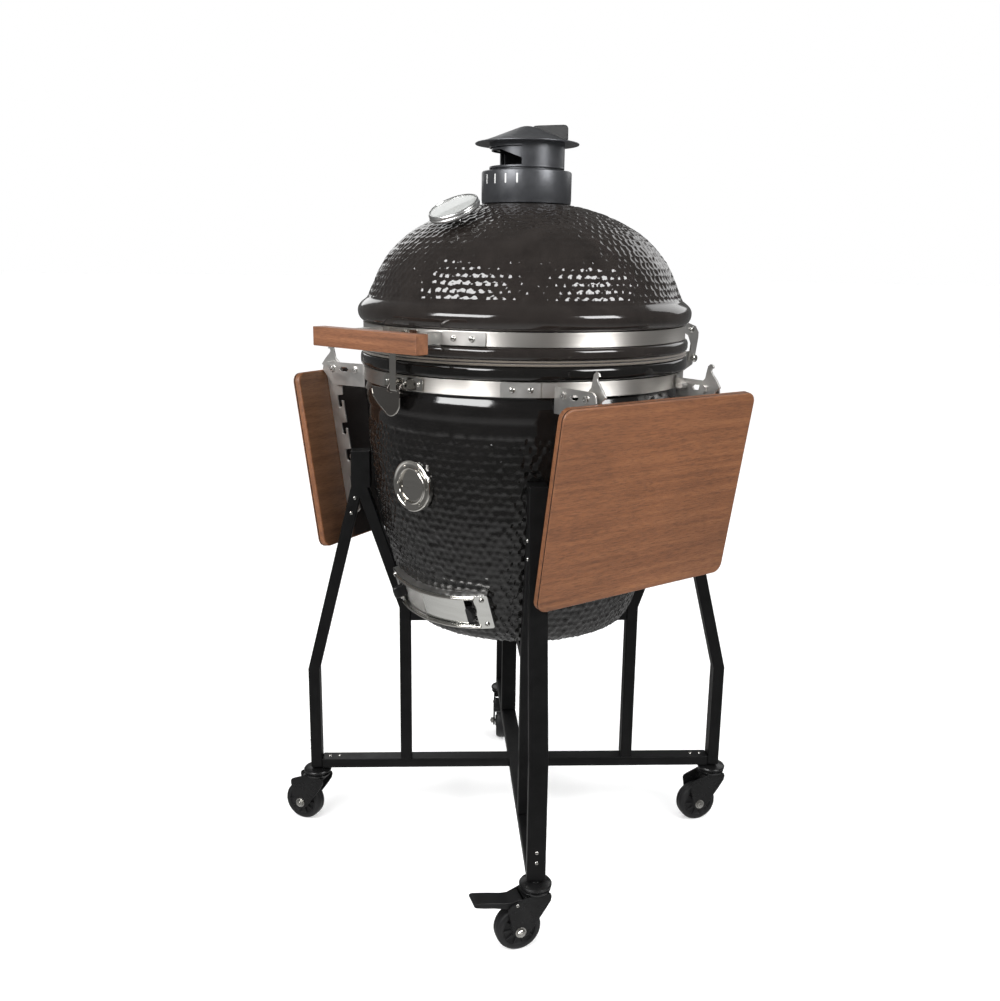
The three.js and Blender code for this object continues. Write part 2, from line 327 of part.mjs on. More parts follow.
function bracket() {
  const plate = solid(prism(brkPoly, BRK_T - 1.5, BRK_T + 1.5, 'xz'));
  const tabG = solid(xf(arc(R1, R1 + 3, 90 + a0 - 0.6, 90 + a0 + 3.8, Z_LB0 + 1, Z_LB1 - 1, 3), new THREE.Matrix4()));
  const pin = solid(cyl(4.2, 18, [SHELF_PIVOT[0], BRK_T - 4.5, SHELF_PIVOT[1]], 'y', 8));
  const heads = [[SHELF_PIVOT[0], BRK_T + 3.2, 6.2], [276, BRK_T + 3.2, 6.2]].map(([x, y, r]) => solid(cyl(r, 4, [x, y, 879.6], 'y', 6)));
  const stop = solid(cyl(5, 16, [276, BRK_T - 6, 879.6], 'y', 6));
  const nut = solid(cyl(6.6, 4, [SHELF_PIVOT[0], ARM_T - 4, SHELF_PIVOT[1]], 'y', 6));
  const slot = solid(prism(roundedRect(291, 311, 875, 883.4, 4, 1), BRK_T - 6, BRK_T + 6, 'xz'));
  return join(cut(plate, slot), tabG, pin, ...heads, stop, nut);
}
// the same solid on the other side of the shelf's middle plane
function mirrorY(m) {
  const g = geometryOf(m), p = g.attributes.position;
  for (let i = 0; i < p.count; i++) p.setY(i, -p.getY(i));
  g.deleteAttribute('normal');
  return solid(g);
}
const brk = bracket(), brkM = mirrorY(brk), armM = mirrorY(arm);
for (const [side, A] of [['right', SHELF_AZ], ['left', -SHELF_AZ]]) {
  const g = group(root, RZ(A - 90));
  const f = side === 'right' ? ['rear', 'front'] : ['front', 'rear'];
  part('shelf_board_' + side, board, M.wood, g);
  part(`shelf_arm_${side}_${f[0]}`, arm, M.steel, g);
  part(`shelf_arm_${side}_${f[1]}`, armM, M.steel, g);
  part(`shelf_bracket_${side}_${f[0]}`, brk, M.steel, g);
  part(`shelf_bracket_${side}_${f[1]}`, brkM, M.steel, g);
}

// ---------------------------------------------------------------- casters
// local frame: origin on the floor under the stem, the wheel trails along +X
const CZ = LEG_Z0 - GAP;
const TAX = 4.6;
const fork = (() => {
  const cup = solid(lathe([[0, 96], [25, 96], [26.5, 104], [20, 110], [8, CZ], [0, CZ]], 14));
  const cheek = [[-20, 97], [24, 97], [50, 84], [50, 76], [38, 30], [32, 26.5], [27, 27], [20, 33], [-4, 74], [-22, 90]];
  const c = [-19.5, 16.5].map((y) => solid(prism(cheek, y, y + 3, 'xz')));
  const top = solid(box(-18, 22, -19.5, 19.5, 93, 97.5));
  const ax = solid(cyl(TAX, 39, [TRAIL, 0, WHEEL_R], 'y', 8));
  const nuts = [-22, 22].map((y) => solid(cyl(7, 6, [TRAIL, y, WHEEL_R], 'y', 6)));
  return join(cup, ...c, top, ax, ...nuts);
})();
const wheelProf = [[5.4, -15], [12, -15], [13, -WHEEL_W / 2], [33, -WHEEL_W / 2], [WHEEL_R, -6.5], [WHEEL_R, 6.5], [33, WHEEL_W / 2], [13, WHEEL_W / 2], [12, 15], [5.4, 15]];
const wheel = solid(xf(lathe(wheelProf, 20), chain(T(TRAIL, 0, WHEEL_R), RX(90))));
// foot brake over the wheel, turning on a pin through the cheeks
const pedal = (() => {
  const side = [[26, 92.6], [44, 90.6], [62, 93], [90, 98.6], [103, 100.4], [107, 98.2], [106, 93.4], [88, 88.6], [66, 84], [52, 80.6], [47, 78.8], [40, 79.4], [30, 84]];
  return solid(prism(side, -15.8, 15.8, 'xz'));
})();
const swivel = { front_left: 200.5, front_right: 240, rear_right: 238, rear_left: 310 };
for (const [n, A] of legs) {
  const [x, y] = at(A, STEM_R);
  const g = group(root, chain(T(x, y, 0), RZ(swivel[n])));
  part('caster_fork_' + n, fork, M.black, g);
  part('caster_wheel_' + n, wheel, M.plastic, g);
  if (n === 'front_right' || n === 'rear_left') part('brake_pedal_' + n, pedal, M.plastic, g);
}

root.updateMatrixWorld(true);
export default root;
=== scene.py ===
import bpy, bmesh, math
import numpy as np
from mathutils import Matrix


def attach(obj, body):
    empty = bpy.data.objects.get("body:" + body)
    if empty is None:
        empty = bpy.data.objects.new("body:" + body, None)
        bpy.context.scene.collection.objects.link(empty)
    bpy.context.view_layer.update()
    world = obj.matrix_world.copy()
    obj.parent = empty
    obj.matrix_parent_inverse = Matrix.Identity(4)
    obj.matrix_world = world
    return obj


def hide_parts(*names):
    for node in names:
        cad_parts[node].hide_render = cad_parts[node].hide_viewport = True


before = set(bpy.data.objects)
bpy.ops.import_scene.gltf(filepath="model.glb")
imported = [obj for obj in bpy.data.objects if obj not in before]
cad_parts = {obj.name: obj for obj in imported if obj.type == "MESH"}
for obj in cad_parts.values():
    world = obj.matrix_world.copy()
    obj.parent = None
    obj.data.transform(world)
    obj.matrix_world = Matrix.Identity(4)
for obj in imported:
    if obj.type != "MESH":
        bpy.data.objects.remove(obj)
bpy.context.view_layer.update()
SCN = bpy.context.scene
YA = 9.0                                   # the grill's axis in the part frame, mm
D = math.pi / 180
RNG = np.random.default_rng(7)


# ------------------------------------------------------------------ camera
def camera():
    dist, high, a, pan, pitch, roll, f = 1847.466, 1080.48, 40.597 * D, 1.19 * D, 13.265 * D, -0.768 * D, 1027.357
    C = np.array([dist * math.sin(a), -dist * math.cos(a) + YA, high]) / 1000
    fa = a + pan
    Z = np.array([0, 0, 1.0]); F0 = np.array([-math.sin(fa), math.cos(fa), 0]); R = np.array([math.cos(fa), math.sin(fa), 0])
    F = F0 * math.cos(pitch) - Z * math.sin(pitch)
    U = np.cross(R, F)
    R2 = R * math.cos(roll) - U * math.sin(roll); U2 = U * math.cos(roll) + R * math.sin(roll)
    cd = bpy.data.cameras.new("camera"); cam = bpy.data.objects.new("camera", cd)
    SCN.collection.objects.link(cam)
    m = np.eye(4); m[:3, 0] = R2; m[:3, 1] = U2; m[:3, 2] = -F; m[:3, 3] = C
    cam.matrix_world = Matrix(m.tolist())
    cd.sensor_fit = "VERTICAL"; cd.sensor_height = 36.0; cd.lens = 36.0 * f / 1001; cd.clip_start = 0.05; cd.clip_end = 200
    SCN.camera = cam


camera()


# ------------------------------------------------------------------ materials
class Mat:
    def __init__(self, name):
        self.m = bpy.data.materials.new(name); self.m.use_nodes = True
        self.t = self.m.node_tree; self.t.nodes.clear()
        self.out = self.t.nodes.new("ShaderNodeOutputMaterial")
        self.p = self.t.nodes.new("ShaderNodeBsdfPrincipled")
        self.t.links.new(self.p.outputs[0], self.out.inputs[0])
        self.co = self.t.nodes.new("ShaderNodeTexCoord").outputs["Object"]

    def n(self, kind, **kw):
        x = self.t.nodes.new(kind)
        for k, v in kw.items():
            if k.startswith("i_"):
                x.inputs[int(k[2:]) if k[2:].isdigit() else k[2:].replace("_", " ")].default_value = v
            else:
                setattr(x, k, v)
        return x

    def link(self, a, b): self.t.links.new(a, b)

    def mapped(self, scale=(1, 1, 1), rot=(0, 0, 0)):
        m = self.n("ShaderNodeMapping"); m.inputs["Scale"].default_value = scale; m.inputs["Rotation"].default_value = rot
        self.link(self.co, m.inputs["Vector"]); return m.outputs[0]

    def noise(self, scale, detail=3.0, rough=0.55, vec=None, dist=0.0):
        x = self.n("ShaderNodeTexNoise"); x.inputs["Scale"].default_value = scale; x.inputs["Detail"].default_value = detail
        x.inputs["Roughness"].default_value = rough; x.inputs["Distortion"].default_value = dist
        self.link(vec if vec is not None else self.co, x.inputs["Vector"]); return x.outputs["Fac"]

    def ramp(self, fac, stops):
        r = self.n("ShaderNodeValToRGB"); e = r.color_ramp.elements
        while len(e) < len(stops): e.new(0.5)
        for el, (p, c) in zip(e, stops): el.position = p; el.color = (*c, 1)
        self.link(fac, r.inputs[0]); return r.outputs[0]

    def range(self, fac, lo, hi, a=0.3, b=0.7):
        r = self.n("ShaderNodeMapRange"); r.inputs[1].default_value = a; r.inputs[2].default_value = b
        r.inputs[3].default_value = lo; r.inputs[4].default_value = hi; self.link(fac, r.inputs[0]); return r.outputs[0]

    def bump(self, fac, strength, distance, prev=None):
        b = self.n("ShaderNodeBump"); b.inputs["Strength"].default_value = strength; b.inputs["Distance"].default_value = distance
        self.link(fac, b.inputs["Height"])
        if prev is not None: self.link(prev, b.inputs["Normal"])
        return b.outputs[0]

    def set(self, **kw):
        for k, v in kw.items():
            k = k.replace("_", " ")
            if hasattr(v, "links") or isinstance(v, bpy.types.NodeSocket): self.link(v, self.p.inputs[k])
            else: self.p.inputs[k].default_value = v
        return self


def c3(r, g, b): return (r, g, b)


def m_glaze(name, lo, hi, rough):
    m = Mat(name)
    col = m.ramp(m.noise(26, 5, 0.6), [(0.30, lo), (0.72, hi)])
    n = m.bump(m.noise(420, 2), 0.10, 0.0004, m.bump(m.noise(45, 2), 0.12, 0.0012))
    m.set(Base_Color=col, Roughness=m.range(m.noise(60, 3), rough * 0.8, rough * 1.25), Normal=n)
    m.p.inputs["IOR"].default_value = 1.50; m.p.inputs["Coat Weight"].default_value = 0.15; m.p.inputs["Coat Roughness"].default_value = 0.04
    return m.m


def m_steel(name, base, lo, hi, scale=(3, 3, 700), rot=(0, 0, 0), bump=0.10):
    m = Mat(name)
    v = m.mapped(scale, rot); s = m.noise(1.6, 4, 0.6, v); big = m.noise(14, 3)
    m.set(Base_Color=m.ramp(s, [(0.25, tuple(x * 0.88 for x in base)), (0.75, base)]), Metallic=1.0,
          Roughness=m.range(s, lo, hi), Normal=m.bump(s, bump, 0.0002, m.bump(big, 0.05, 0.002)))
    return m.m


def m_wood(name, dark, mid, light, rot, long_axis=1, rough=0.46):
    m = Mat(name)
    def turned(across, along):
        k = [1 / across] * 3; k[long_axis] = 1 / along
        x = m.n("ShaderNodeMapping", vector_type="TEXTURE"); x.inputs["Scale"].default_value = k; x.inputs["Rotation"].default_value = rot
        m.link(m.co, x.inputs["Vector"]); return x.outputs[0]
    grain = m.noise(1.0, 5, 0.6, turned(110.0, 4.2), 0.25); pores = m.noise(1.0, 4, 0.7, turned(760.0, 60.0), 0.1)
    col = m.ramp(grain, [(0.28, dark), (0.5, mid), (0.74, light)])
    pc = m.ramp(pores, [(0.36, (0.58, 0.56, 0.55)), (0.54, (1, 1, 1))])
    mix = m.n("ShaderNodeMix", data_type="RGBA", blend_type="MULTIPLY"); mix.inputs["Factor"].default_value = 0.85
    m.link(col, mix.inputs[6]); m.link(pc, mix.inputs[7])
    patch = m.ramp(m.noise(5.0, 2), [(0.35, (0.86, 0.84, 0.82)), (0.65, (1.06, 1.04, 1.02))])
    mix2 = m.n("ShaderNodeMix", data_type="RGBA", blend_type="MULTIPLY"); mix2.inputs["Factor"].default_value = 1.0
    m.link(mix.outputs[2], mix2.inputs[6]); m.link(patch, mix2.inputs[7])
    m.set(Base_Color=mix2.outputs[2], Roughness=m.range(pores, rough + 0.1, rough - 0.04),
          Normal=m.bump(pores, 0.22, 0.0005, m.bump(grain, 0.12, 0.001)))
    return m.m


def m_coat(name, lo, hi, r0, r1, metal=0.0, grain=900, b=0.18):
    m = Mat(name)
    m.set(Base_Color=m.ramp(m.noise(30, 4), [(0.3, lo), (0.7, hi)]), Metallic=metal,
          Roughness=m.range(m.noise(70, 3), r0, r1), Normal=m.bump(m.noise(grain, 2), b, 0.0003))
    return m.m


def m_felt():
    m = Mat("felt_weave")
    v = m.mapped((1, 1, 3))
    m.set(Base_Color=m.ramp(m.noise(260, 5, 0.7, v), [(0.3, (0.060, 0.049, 0.037)), (0.7, (0.125, 0.104, 0.082))]), Roughness=0.95,
          Normal=m.bump(m.noise(1500, 3, 0.7), 0.6, 0.0008))
    m.p.inputs["Sheen Weight"].default_value = 0.3
    return m.m


def m_clay():
    m = Mat("firebrick")
    m.set(Base_Color=m.ramp(m.noise(40, 6, 0.7), [(0.3, (0.30, 0.235, 0.18)), (0.7, (0.52, 0.43, 0.34))]), Roughness=0.92,
          Normal=m.bump(m.noise(300, 5, 0.7), 0.5, 0.001))
    return m.m


GLAZE = m_glaze("ceramic_glaze", (0.0105, 0.0086, 0.0077), (0.0180, 0.0150, 0.0135), 0.10)
GLAZE_B = m_glaze("ceramic_glaze_base", (0.0030, 0.0028, 0.0027), (0.0060, 0.0056, 0.0053), 0.10)
BAND = m_steel("band_steel", (0.77, 0.74, 0.70), 0.42, 0.50, bump=0.03)
_t = BAND.node_tree.nodes.new("ShaderNodeTangent"); _t.direction_type = "RADIAL"; _t.axis = "Z"
_p = [n for n in BAND.node_tree.nodes if n.type == "BSDF_PRINCIPLED"][0]
_p.inputs["Anisotropic"].default_value = 0.88; _p.inputs["Anisotropic Rotation"].default_value = 0.25
BAND.node_tree.links.new(_t.outputs[0], _p.inputs["Tangent"])
PLATE = m_steel("plate_steel", (0.74, 0.725, 0.70), 0.30, 0.42, (14, 14, 14), bump=0.02)
ZINC = m_steel("screw_steel", (0.66, 0.65, 0.62), 0.14, 0.24, (60, 60, 60), bump=0.04)
CHROME = m_steel("polished_steel", (0.70, 0.68, 0.64), 0.06, 0.13, (8, 8, 60), bump=0.04)
LATCH = m_steel("latch_steel", (0.34, 0.32, 0.30), 0.07, 0.14, (8, 8, 60), bump=0.04)
DOOR = m_steel("door_steel", (0.76, 0.76, 0.73), 0.10, 0.18, (8, 8, 60), bump=0.03)
SATIN = m_steel("satin_steel", (0.74, 0.74, 0.73), 0.24, 0.36, (40, 40, 40), bump=0.03)
FACE = m_coat("dial_face", (0.52, 0.52, 0.50), (0.60, 0.60, 0.58), 0.30, 0.40, 0.35, 700, 0.05)
WOODR = m_wood("shelf_wood_right", (0.122, 0.044, 0.0150), (0.165, 0.061, 0.0205), (0.208, 0.082, 0.0290), (0, 0, -12.3 * D))
WOODL = m_wood("shelf_wood_left", (0.122, 0.044, 0.0150), (0.165, 0.061, 0.0205), (0.208, 0.082, 0.0290), (0, 0, -167.7 * D))
WOODH = m_wood("handle_wood", (0.125, 0.047, 0.0185), (0.180, 0.070, 0.0285), (0.235, 0.098, 0.0430), (0, 0, 0), 0)


def m_back_painted_shade(name, rot):                    # back of a shelf: painted shade, a darker copy of the shelf wood, near black between the arms where the bowl shades it, plain wood towards the ends
    m = m_wood(name, (0.080, 0.036, 0.017), (0.112, 0.052, 0.024), (0.140, 0.068, 0.034), (0, 0, rot * D))
    t = m.node_tree; p = [x for x in t.nodes if x.type == "BSDF_PRINCIPLED"][0]; old = p.inputs["Base Color"].links[0].from_socket
    tc = [x for x in t.nodes if x.type == "TEX_COORD"][0]
    mp = t.nodes.new("ShaderNodeMapping"); mp.vector_type = "TEXTURE"; mp.inputs["Location"].default_value = (0, 0.009, 0); mp.inputs["Rotation"].default_value = (0, 0, rot * D)
    sp = t.nodes.new("ShaderNodeSeparateXYZ"); ab = t.nodes.new("ShaderNodeMath"); ab.operation = "ABSOLUTE"
    mr = t.nodes.new("ShaderNodeMapRange"); mr.interpolation_type = "SMOOTHSTEP"; mr.inputs[1].default_value = 0.106; mr.inputs[2].default_value = 0.124
    # painted shade: near-black colour across the middle of the shelf back, between the arms
    shade_mix = t.nodes.new("ShaderNodeMix"); shade_mix.data_type = "RGBA"; shade_mix.inputs[6].default_value = (0.013, 0.0075, 0.0058, 1)
    t.links.new(tc.outputs["Object"], mp.inputs[0]); t.links.new(mp.outputs[0], sp.inputs[0]); t.links.new(sp.outputs[1], ab.inputs[0])
    t.links.new(ab.outputs[0], mr.inputs[0]); t.links.new(mr.outputs[0], shade_mix.inputs[0]); t.links.new(old, shade_mix.inputs[7]); t.links.new(shade_mix.outputs[2], p.inputs["Base Color"])
    return m


SHADED_BACKS = {"right": m_back_painted_shade("shelf_back_shade_right", -12.3), "left": m_back_painted_shade("shelf_back_shade_left", -167.7)}
# painted shade: near-black colour standing in for the shade inside the routed edge groove
GROOVE_SHADE = m_coat("wood_groove_shade", (0.012, 0.008, 0.007), (0.02, 0.014, 0.012), 0.7, 0.8)
VENT = m_coat("vent_coating", (0.048, 0.0495, 0.054), (0.064, 0.066, 0.071), 0.30, 0.40, 0.55, 1100, 0.06)
FIN = m_coat("vent_fin_black", (0.0016, 0.0016, 0.0018), (0.003, 0.003, 0.0032), 0.40, 0.5, 0.0, 900, 0.1)
COAT = m_coat("powder_coat", (0.0018, 0.0018, 0.0019), (0.0034, 0.0034, 0.0036), 0.36, 0.46, 0.0, 1000, 0.12)
PLASTIC = m_coat("moulded_black", (0.0045, 0.0045, 0.0048), (0.0075, 0.0075, 0.0078), 0.34, 0.46, 0.0, 700, 0.10)
TYRE = m_coat("wheel_tread", (0.0065, 0.0065, 0.007), (0.011, 0.011, 0.0115), 0.45, 0.58, 0.0, 500, 0.15)
FORK = m_coat("caster_black", (0.0038, 0.0038, 0.004), (0.0068, 0.0068, 0.007), 0.24, 0.34, 0.0, 600, 0.08)
for _m, _v in ((COAT, 0.26), (PLASTIC, 0.34), (FORK, 0.36), (TYRE, 0.36)):
    [x for x in _m.node_tree.nodes if x.type == "BSDF_PRINCIPLED"][0].inputs["Specular IOR Level"].default_value = _v
FELT = m_felt()
CLAY = m_clay()
IRON = m_coat("cast_iron_bare", (0.02, 0.019, 0.018), (0.045, 0.042, 0.04), 0.55, 0.75, 0.6, 260, 0.5)
TICK = m_coat("tick_paint", (0.50, 0.50, 0.49), (0.58, 0.58, 0.57), 0.4, 0.5)
RED = m_coat("needle_paint", (0.30, 0.022, 0.016), (0.40, 0.03, 0.02), 0.4, 0.5)
# painted reflection: the lens is a grey, two-thirds opaque film that stands in for glare on the glass and veils the
# dial
LENS_GLARE = Mat("lens_painted_glare").m
_l = LENS_GLARE.node_tree.nodes["Principled BSDF"] if "Principled BSDF" in LENS_GLARE.node_tree.nodes else [n for n in LENS_GLARE.node_tree.nodes if n.type == "BSDF_PRINCIPLED"][0]
_l.inputs["Base Color"].default_value = (0.40, 0.41, 0.40, 1); _l.inputs["Roughness"].default_value = 0.08; _l.inputs["Alpha"].default_value = 0.66


# ------------------------------------------------------------------ shapes (mm, grill axis at 0,0)
def ident(): return np.eye(4)
def tr(x, y, z): m = np.eye(4); m[:3, 3] = (x, y, z); return m
def rz(a): c, s = math.cos(a * D), math.sin(a * D); m = np.eye(4); m[:2, :2] = [[c, -s], [s, c]]; return m
def rx(a): c, s = math.cos(a * D), math.sin(a * D); m = np.eye(4); m[1:3, 1:3] = [[c, -s], [s, c]]; return m
def ry(a): c, s = math.cos(a * D), math.sin(a * D); m = np.eye(4); m[0, 0] = c; m[0, 2] = s; m[2, 0] = -s; m[2, 2] = c; return m


def facing(pos, nrm):                      # local +Z along nrm
    z = np.array(nrm, float); z /= np.linalg.norm(z)
    up = np.array([0, 0, 1.0]) if abs(z[2]) < 0.9 else np.array([0, 1.0, 0])
    x = np.cross(up, z); x /= np.linalg.norm(x); y = np.cross(z, x)
    m = np.eye(4); m[:3, 0] = x; m[:3, 1] = y; m[:3, 2] = z; m[:3, 3] = pos
    return m


def at(a, r, z=0.0): return np.array([r * math.sin(a * D), -r * math.cos(a * D), z])


def lathe(profile, seg=96):
    p = np.array(profile, float); n = len(p)
    t = np.arange(seg) * 2 * math.pi / seg
    v = np.stack([np.outer(np.sin(t), p[:, 0]), -np.outer(np.cos(t), p[:, 0]), np.tile(p[:, 1], (seg, 1))], -1).reshape(-1, 3)
    f = []
    closed = not (abs(p[0, 0]) < 1e-6 and abs(p[-1, 0]) < 1e-6)
    for i in range(seg):
        j = (i + 1) % seg
        for k in range(n if closed else n - 1):
            l = (k + 1) % n
            f.append((i * n + k, j * n + k, j * n + l, i * n + l))
    return v, f


def prism(poly, lo, hi, plane="xy"):
    n = len(poly); a = np.array(poly, float)
    v = np.zeros((2 * n, 3))
    ax = {"xy": (0, 1, 2), "xz": (0, 2, 1), "yz": (1, 2, 0)}[plane]
    v[:n, ax[0]] = v[n:, ax[0]] = a[:, 0]; v[:n, ax[1]] = v[n:, ax[1]] = a[:, 1]; v[:n, ax[2]] = lo; v[n:, ax[2]] = hi
    f = [tuple(range(n))[::-1], tuple(range(n, 2 * n))] + [(i, (i + 1) % n, n + (i + 1) % n, n + i) for i in range(n)]
    return v, f


def box(x0, x1, y0, y1, z0, z1): return prism([(x0, y0), (x1, y0), (x1, y1), (x0, y1)], z0, z1)
def cyl(r, h, seg=32, r2=None): return lathe([(0, -h / 2), (r, -h / 2), (r if r2 is None else r2, h / 2), (0, h / 2)], seg)


def ringplate(r0, r1, a0, a1, z0, z1, n=12, rc=0.0, m=5):
    """A curved plate between two radii with rounded corners in (azimuth, z)."""
    rm = (r0 + r1) / 2; cols = list(np.linspace(a0, a1, n + 1))
    if rc > 0:
        da = rc / rm / D
        extra = [a0 + da * (1 - math.cos(q * math.pi / 2 / m)) for q in range(m + 1)]
        cols = [c for c in cols if a0 + da < c < a1 - da] + extra + [a0 + a1 - e for e in extra]
    cols = sorted(set(round(c, 6) for c in cols))
    v, f = [], []
    for c in cols:
        e = min(c - a0, a1 - c) * D * rm
        cut = rc - math.sqrt(max(0, rc * rc - (rc - e) ** 2)) if e < rc else 0.0
        cut = min(cut, (z1 - z0) / 2 - 0.01)
        for r in (r0, r1):
            for z in (z0 + cut, z1 - cut): v.append(at(c, r, z))
    k = len(cols)
    for i in range(k - 1):
        a, b = 4 * i, 4 * (i + 1)
        f += [(a + 2, b + 2, b + 3, a + 3), (a + 0, a + 1, b + 1, b + 0), (a + 1, a + 3, b + 3, b + 1), (a + 0, b + 0, b + 2, a + 2)]
    f += [(0, 2, 3, 1), (4 * k - 4, 4 * k - 3, 4 * k - 1, 4 * k - 2)]
    return np.array(v), f


def shell(cols, rows, radius, hole=None):
    """Open cylindrical sheet; rows(c) gives the row heights of column c; hole(i, j) drops a cell."""
    v, f = [], []; R = len(rows(cols[0]))
    for c in cols:
        for z in rows(c): v.append(at(c, radius, z))
    for i in range(len(cols) - 1):
        for j in range(R - 1):
            if hole and hole(i, j): continue
            f.append((i * R + j, (i + 1) * R + j, (i + 1) * R + j + 1, i * R + j + 1))
    return np.array(v), f


def tube(path, r, seg=10, closed=False):
    p = np.array(path, float); n = len(p); v, f = [], []
    t = np.gradient(p, axis=0) if not closed else np.roll(p, -1, 0) - np.roll(p, 1, 0)
    t /= np.linalg.norm(t, axis=1)[:, None]
    u = np.cross(t[0], [0, 0, 1.0]); u = u if np.linalg.norm(u) > 0.1 else np.cross(t[0], [1.0, 0, 0]); u /= np.linalg.norm(u)
    for i in range(n):
        u = u - t[i] * (u @ t[i]); u /= np.linalg.norm(u); w = np.cross(t[i], u)
        for k in range(seg):
            a = 2 * math.pi * k / seg; v.append(p[i] + r * (math.cos(a) * u + math.sin(a) * w))
    for i in range(n if closed else n - 1):
        j = (i + 1) % n
        for k in range(seg): f.append((i * seg + k, i * seg + (k + 1) % seg, j * seg + (k + 1) % seg, j * seg + k))
    if not closed: f += [tuple(range(seg))[::-1], tuple(range((n - 1) * seg, n * seg))]
    return np.array(v), f


def rrect(x0, x1, y0, y1, r, n=8):
    out = []
    for cx, cy, a in ((x1 - r, y1 - r, 0), (x0 + r, y1 - r, 90), (x0 + r, y0 + r, 180), (x1 - r, y0 + r, 270)):
        out += [(cx + r * math.cos((a + 90 * i / n) * D), cy + r * math.sin((a + 90 * i / n) * D)) for i in range(n + 1)]
    return out


def loft(rings):                           # rings: lists of points with equal counts, capped
    n = len(rings[0]); v = np.concatenate([np.array(r, float) for r in rings]); f = []
    for k in range(len(rings) - 1):
        for i in range(n): j = (i + 1) % n; f.append((k * n + i, k * n + j, (k + 1) * n + j, (k + 1) * n + i))
    f += [tuple(range(n))[::-1], tuple(range((len(rings) - 1) * n, len(rings) * n))]
    return v, f


def screw(r=4.4, h=3.0):                   # button head with a hexagon socket, seat at z = 0
    v, f = lathe([(r, -1.0), (r, 0.25 * h), (0.93 * r, 0.55 * h), (0.74 * r, 0.86 * h), (0.52 * r, h)], 24)
    f = [q for i, q in enumerate(f) if i % 5 != 4]
    k = len(v); a = np.arange(24) * 2 * math.pi / 24
    hexr = 0.40 * r * math.cos(math.pi / 6) / np.cos((a + math.pi / 6) % (math.pi / 3) - math.pi / 6)
    for z in (h, 0.35 * h): v = np.concatenate([v, np.stack([hexr * np.sin(a), -hexr * np.cos(a), np.full(24, z)], -1)])
    for i in range(24):
        j = (i + 1) % 24
        f += [(i * 5 + 4, j * 5 + 4, k + j, k + i), (k + i, k + j, k + 24 + j, k + 24 + i)]
    f.append(tuple(k + 24 + i for i in range(24)))
    f.append(tuple(i * 5 for i in range(24))[::-1])
    return v, f


class B:                                   # collects shapes into one mesh
    def __init__(s): s.v = []; s.f = []; s.m = []; s.n = 0

    def add(s, vf, M=None, mi=0):
        v, f = vf; v = np.asarray(v, float)
        if M is not None: v = v @ M[:3, :3].T + M[:3, 3]
        s.v.append(v); s.f += [tuple(i + s.n for i in q) for q in f]; s.m += [mi] * len(f); s.n += len(v)
        return s


def finish_mesh(me, weld=True, smooth=32):
    bm = bmesh.new(); bm.from_mesh(me)
    if weld:
        bmesh.ops.remove_doubles(bm, verts=bm.verts, dist=2e-6)
        bmesh.ops.dissolve_degenerate(bm, dist=1e-7, edges=bm.edges)
    bmesh.ops.recalc_face_normals(bm, faces=bm.faces)
    bm.to_mesh(me); bm.free()
    me.polygons.foreach_set("use_smooth", [True] * len(me.polygons))
    me.set_sharp_from_angle(angle=smooth * D)


def piece(name, b, mats, body, nodes=(), M=None, bevel=0.0, bseg=2, solid=0.0, smooth=32, weld=True):
    if not isinstance(b, B): b = B().add(b)
    v = np.concatenate(b.v)
    if M is not None: v = v @ M[:3, :3].T + M[:3, 3]
    me = bpy.data.meshes.new(name)
    me.from_pydata(((v + [0, YA, 0]) * 0.001).tolist(), [], b.f)
    mats = mats if isinstance(mats, (list, tuple)) else [mats]
    for m in mats: me.materials.append(m)
    if len(mats) > 1: me.polygons.foreach_set("material_index", b.m)
    finish_mesh(me, weld, smooth)
    return dress(me, name, body, nodes, bevel, bseg, solid)


def dress(me, name, body, nodes, bevel, bseg, solid=0.0):
    o = bpy.data.objects.new(name, me); SCN.collection.objects.link(o)
    if solid:
        s = o.modifiers.new("wall", "SOLIDIFY"); s.thickness = solid * 0.001; s.offset = -1.0; s.use_even_offset = True
    if bevel:
        s = o.modifiers.new("edge", "BEVEL"); s.width = bevel * 0.001; s.segments = bseg; s.limit_method = "ANGLE"; s.angle_limit = 38 * D
        s.use_clamp_overlap = True; s.harden_normals = True
    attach(o, body)
    if nodes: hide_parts(*nodes)
    return o


def from_cad(node, mat, body, bevel=0.5, bseg=2, smooth=32):
    """The node's own shape with merged flats and softened edges."""
    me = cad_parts[node].data.copy(); me.name = node + "_fine"
    me.materials.clear(); me.materials.append(mat)
    bm = bmesh.new(); bm.from_mesh(me)
    bmesh.ops.remove_doubles(bm, verts=bm.verts, dist=3e-6)
    bmesh.ops.dissolve_limit(bm, angle_limit=0.6 * D, verts=bm.verts, edges=bm.edges)
    bm.to_mesh(me); bm.free()
    finish_mesh(me, False, smooth)
    return dress(me, node + "_fine", body, [node], bevel, bseg)


# ------------------------------------------------------------------ ceramic shells with pressed dimples
def catmull(P, step):
    P = np.array(P, float); Q = np.vstack([2 * P[0] - P[1], P, 2 * P[-1] - P[-2]]); out = []
    for i in range(1, len(Q) - 2):
        L = np.linalg.norm(Q[i + 1] - Q[i]); n = max(1, int(round(L / step)))
        for k in range(n):
            t = k / n
            out.append(0.5 * ((2 * Q[i]) + (-Q[i - 1] + Q[i + 1]) * t + (2 * Q[i - 1] - 5 * Q[i] + 4 * Q[i + 1] - Q[i + 2]) * t * t + (-Q[i - 1] + 3 * Q[i] - 3 * Q[i + 1] + Q[i + 2]) * t ** 3))
    out.append(P[-1]); return np.array(out)


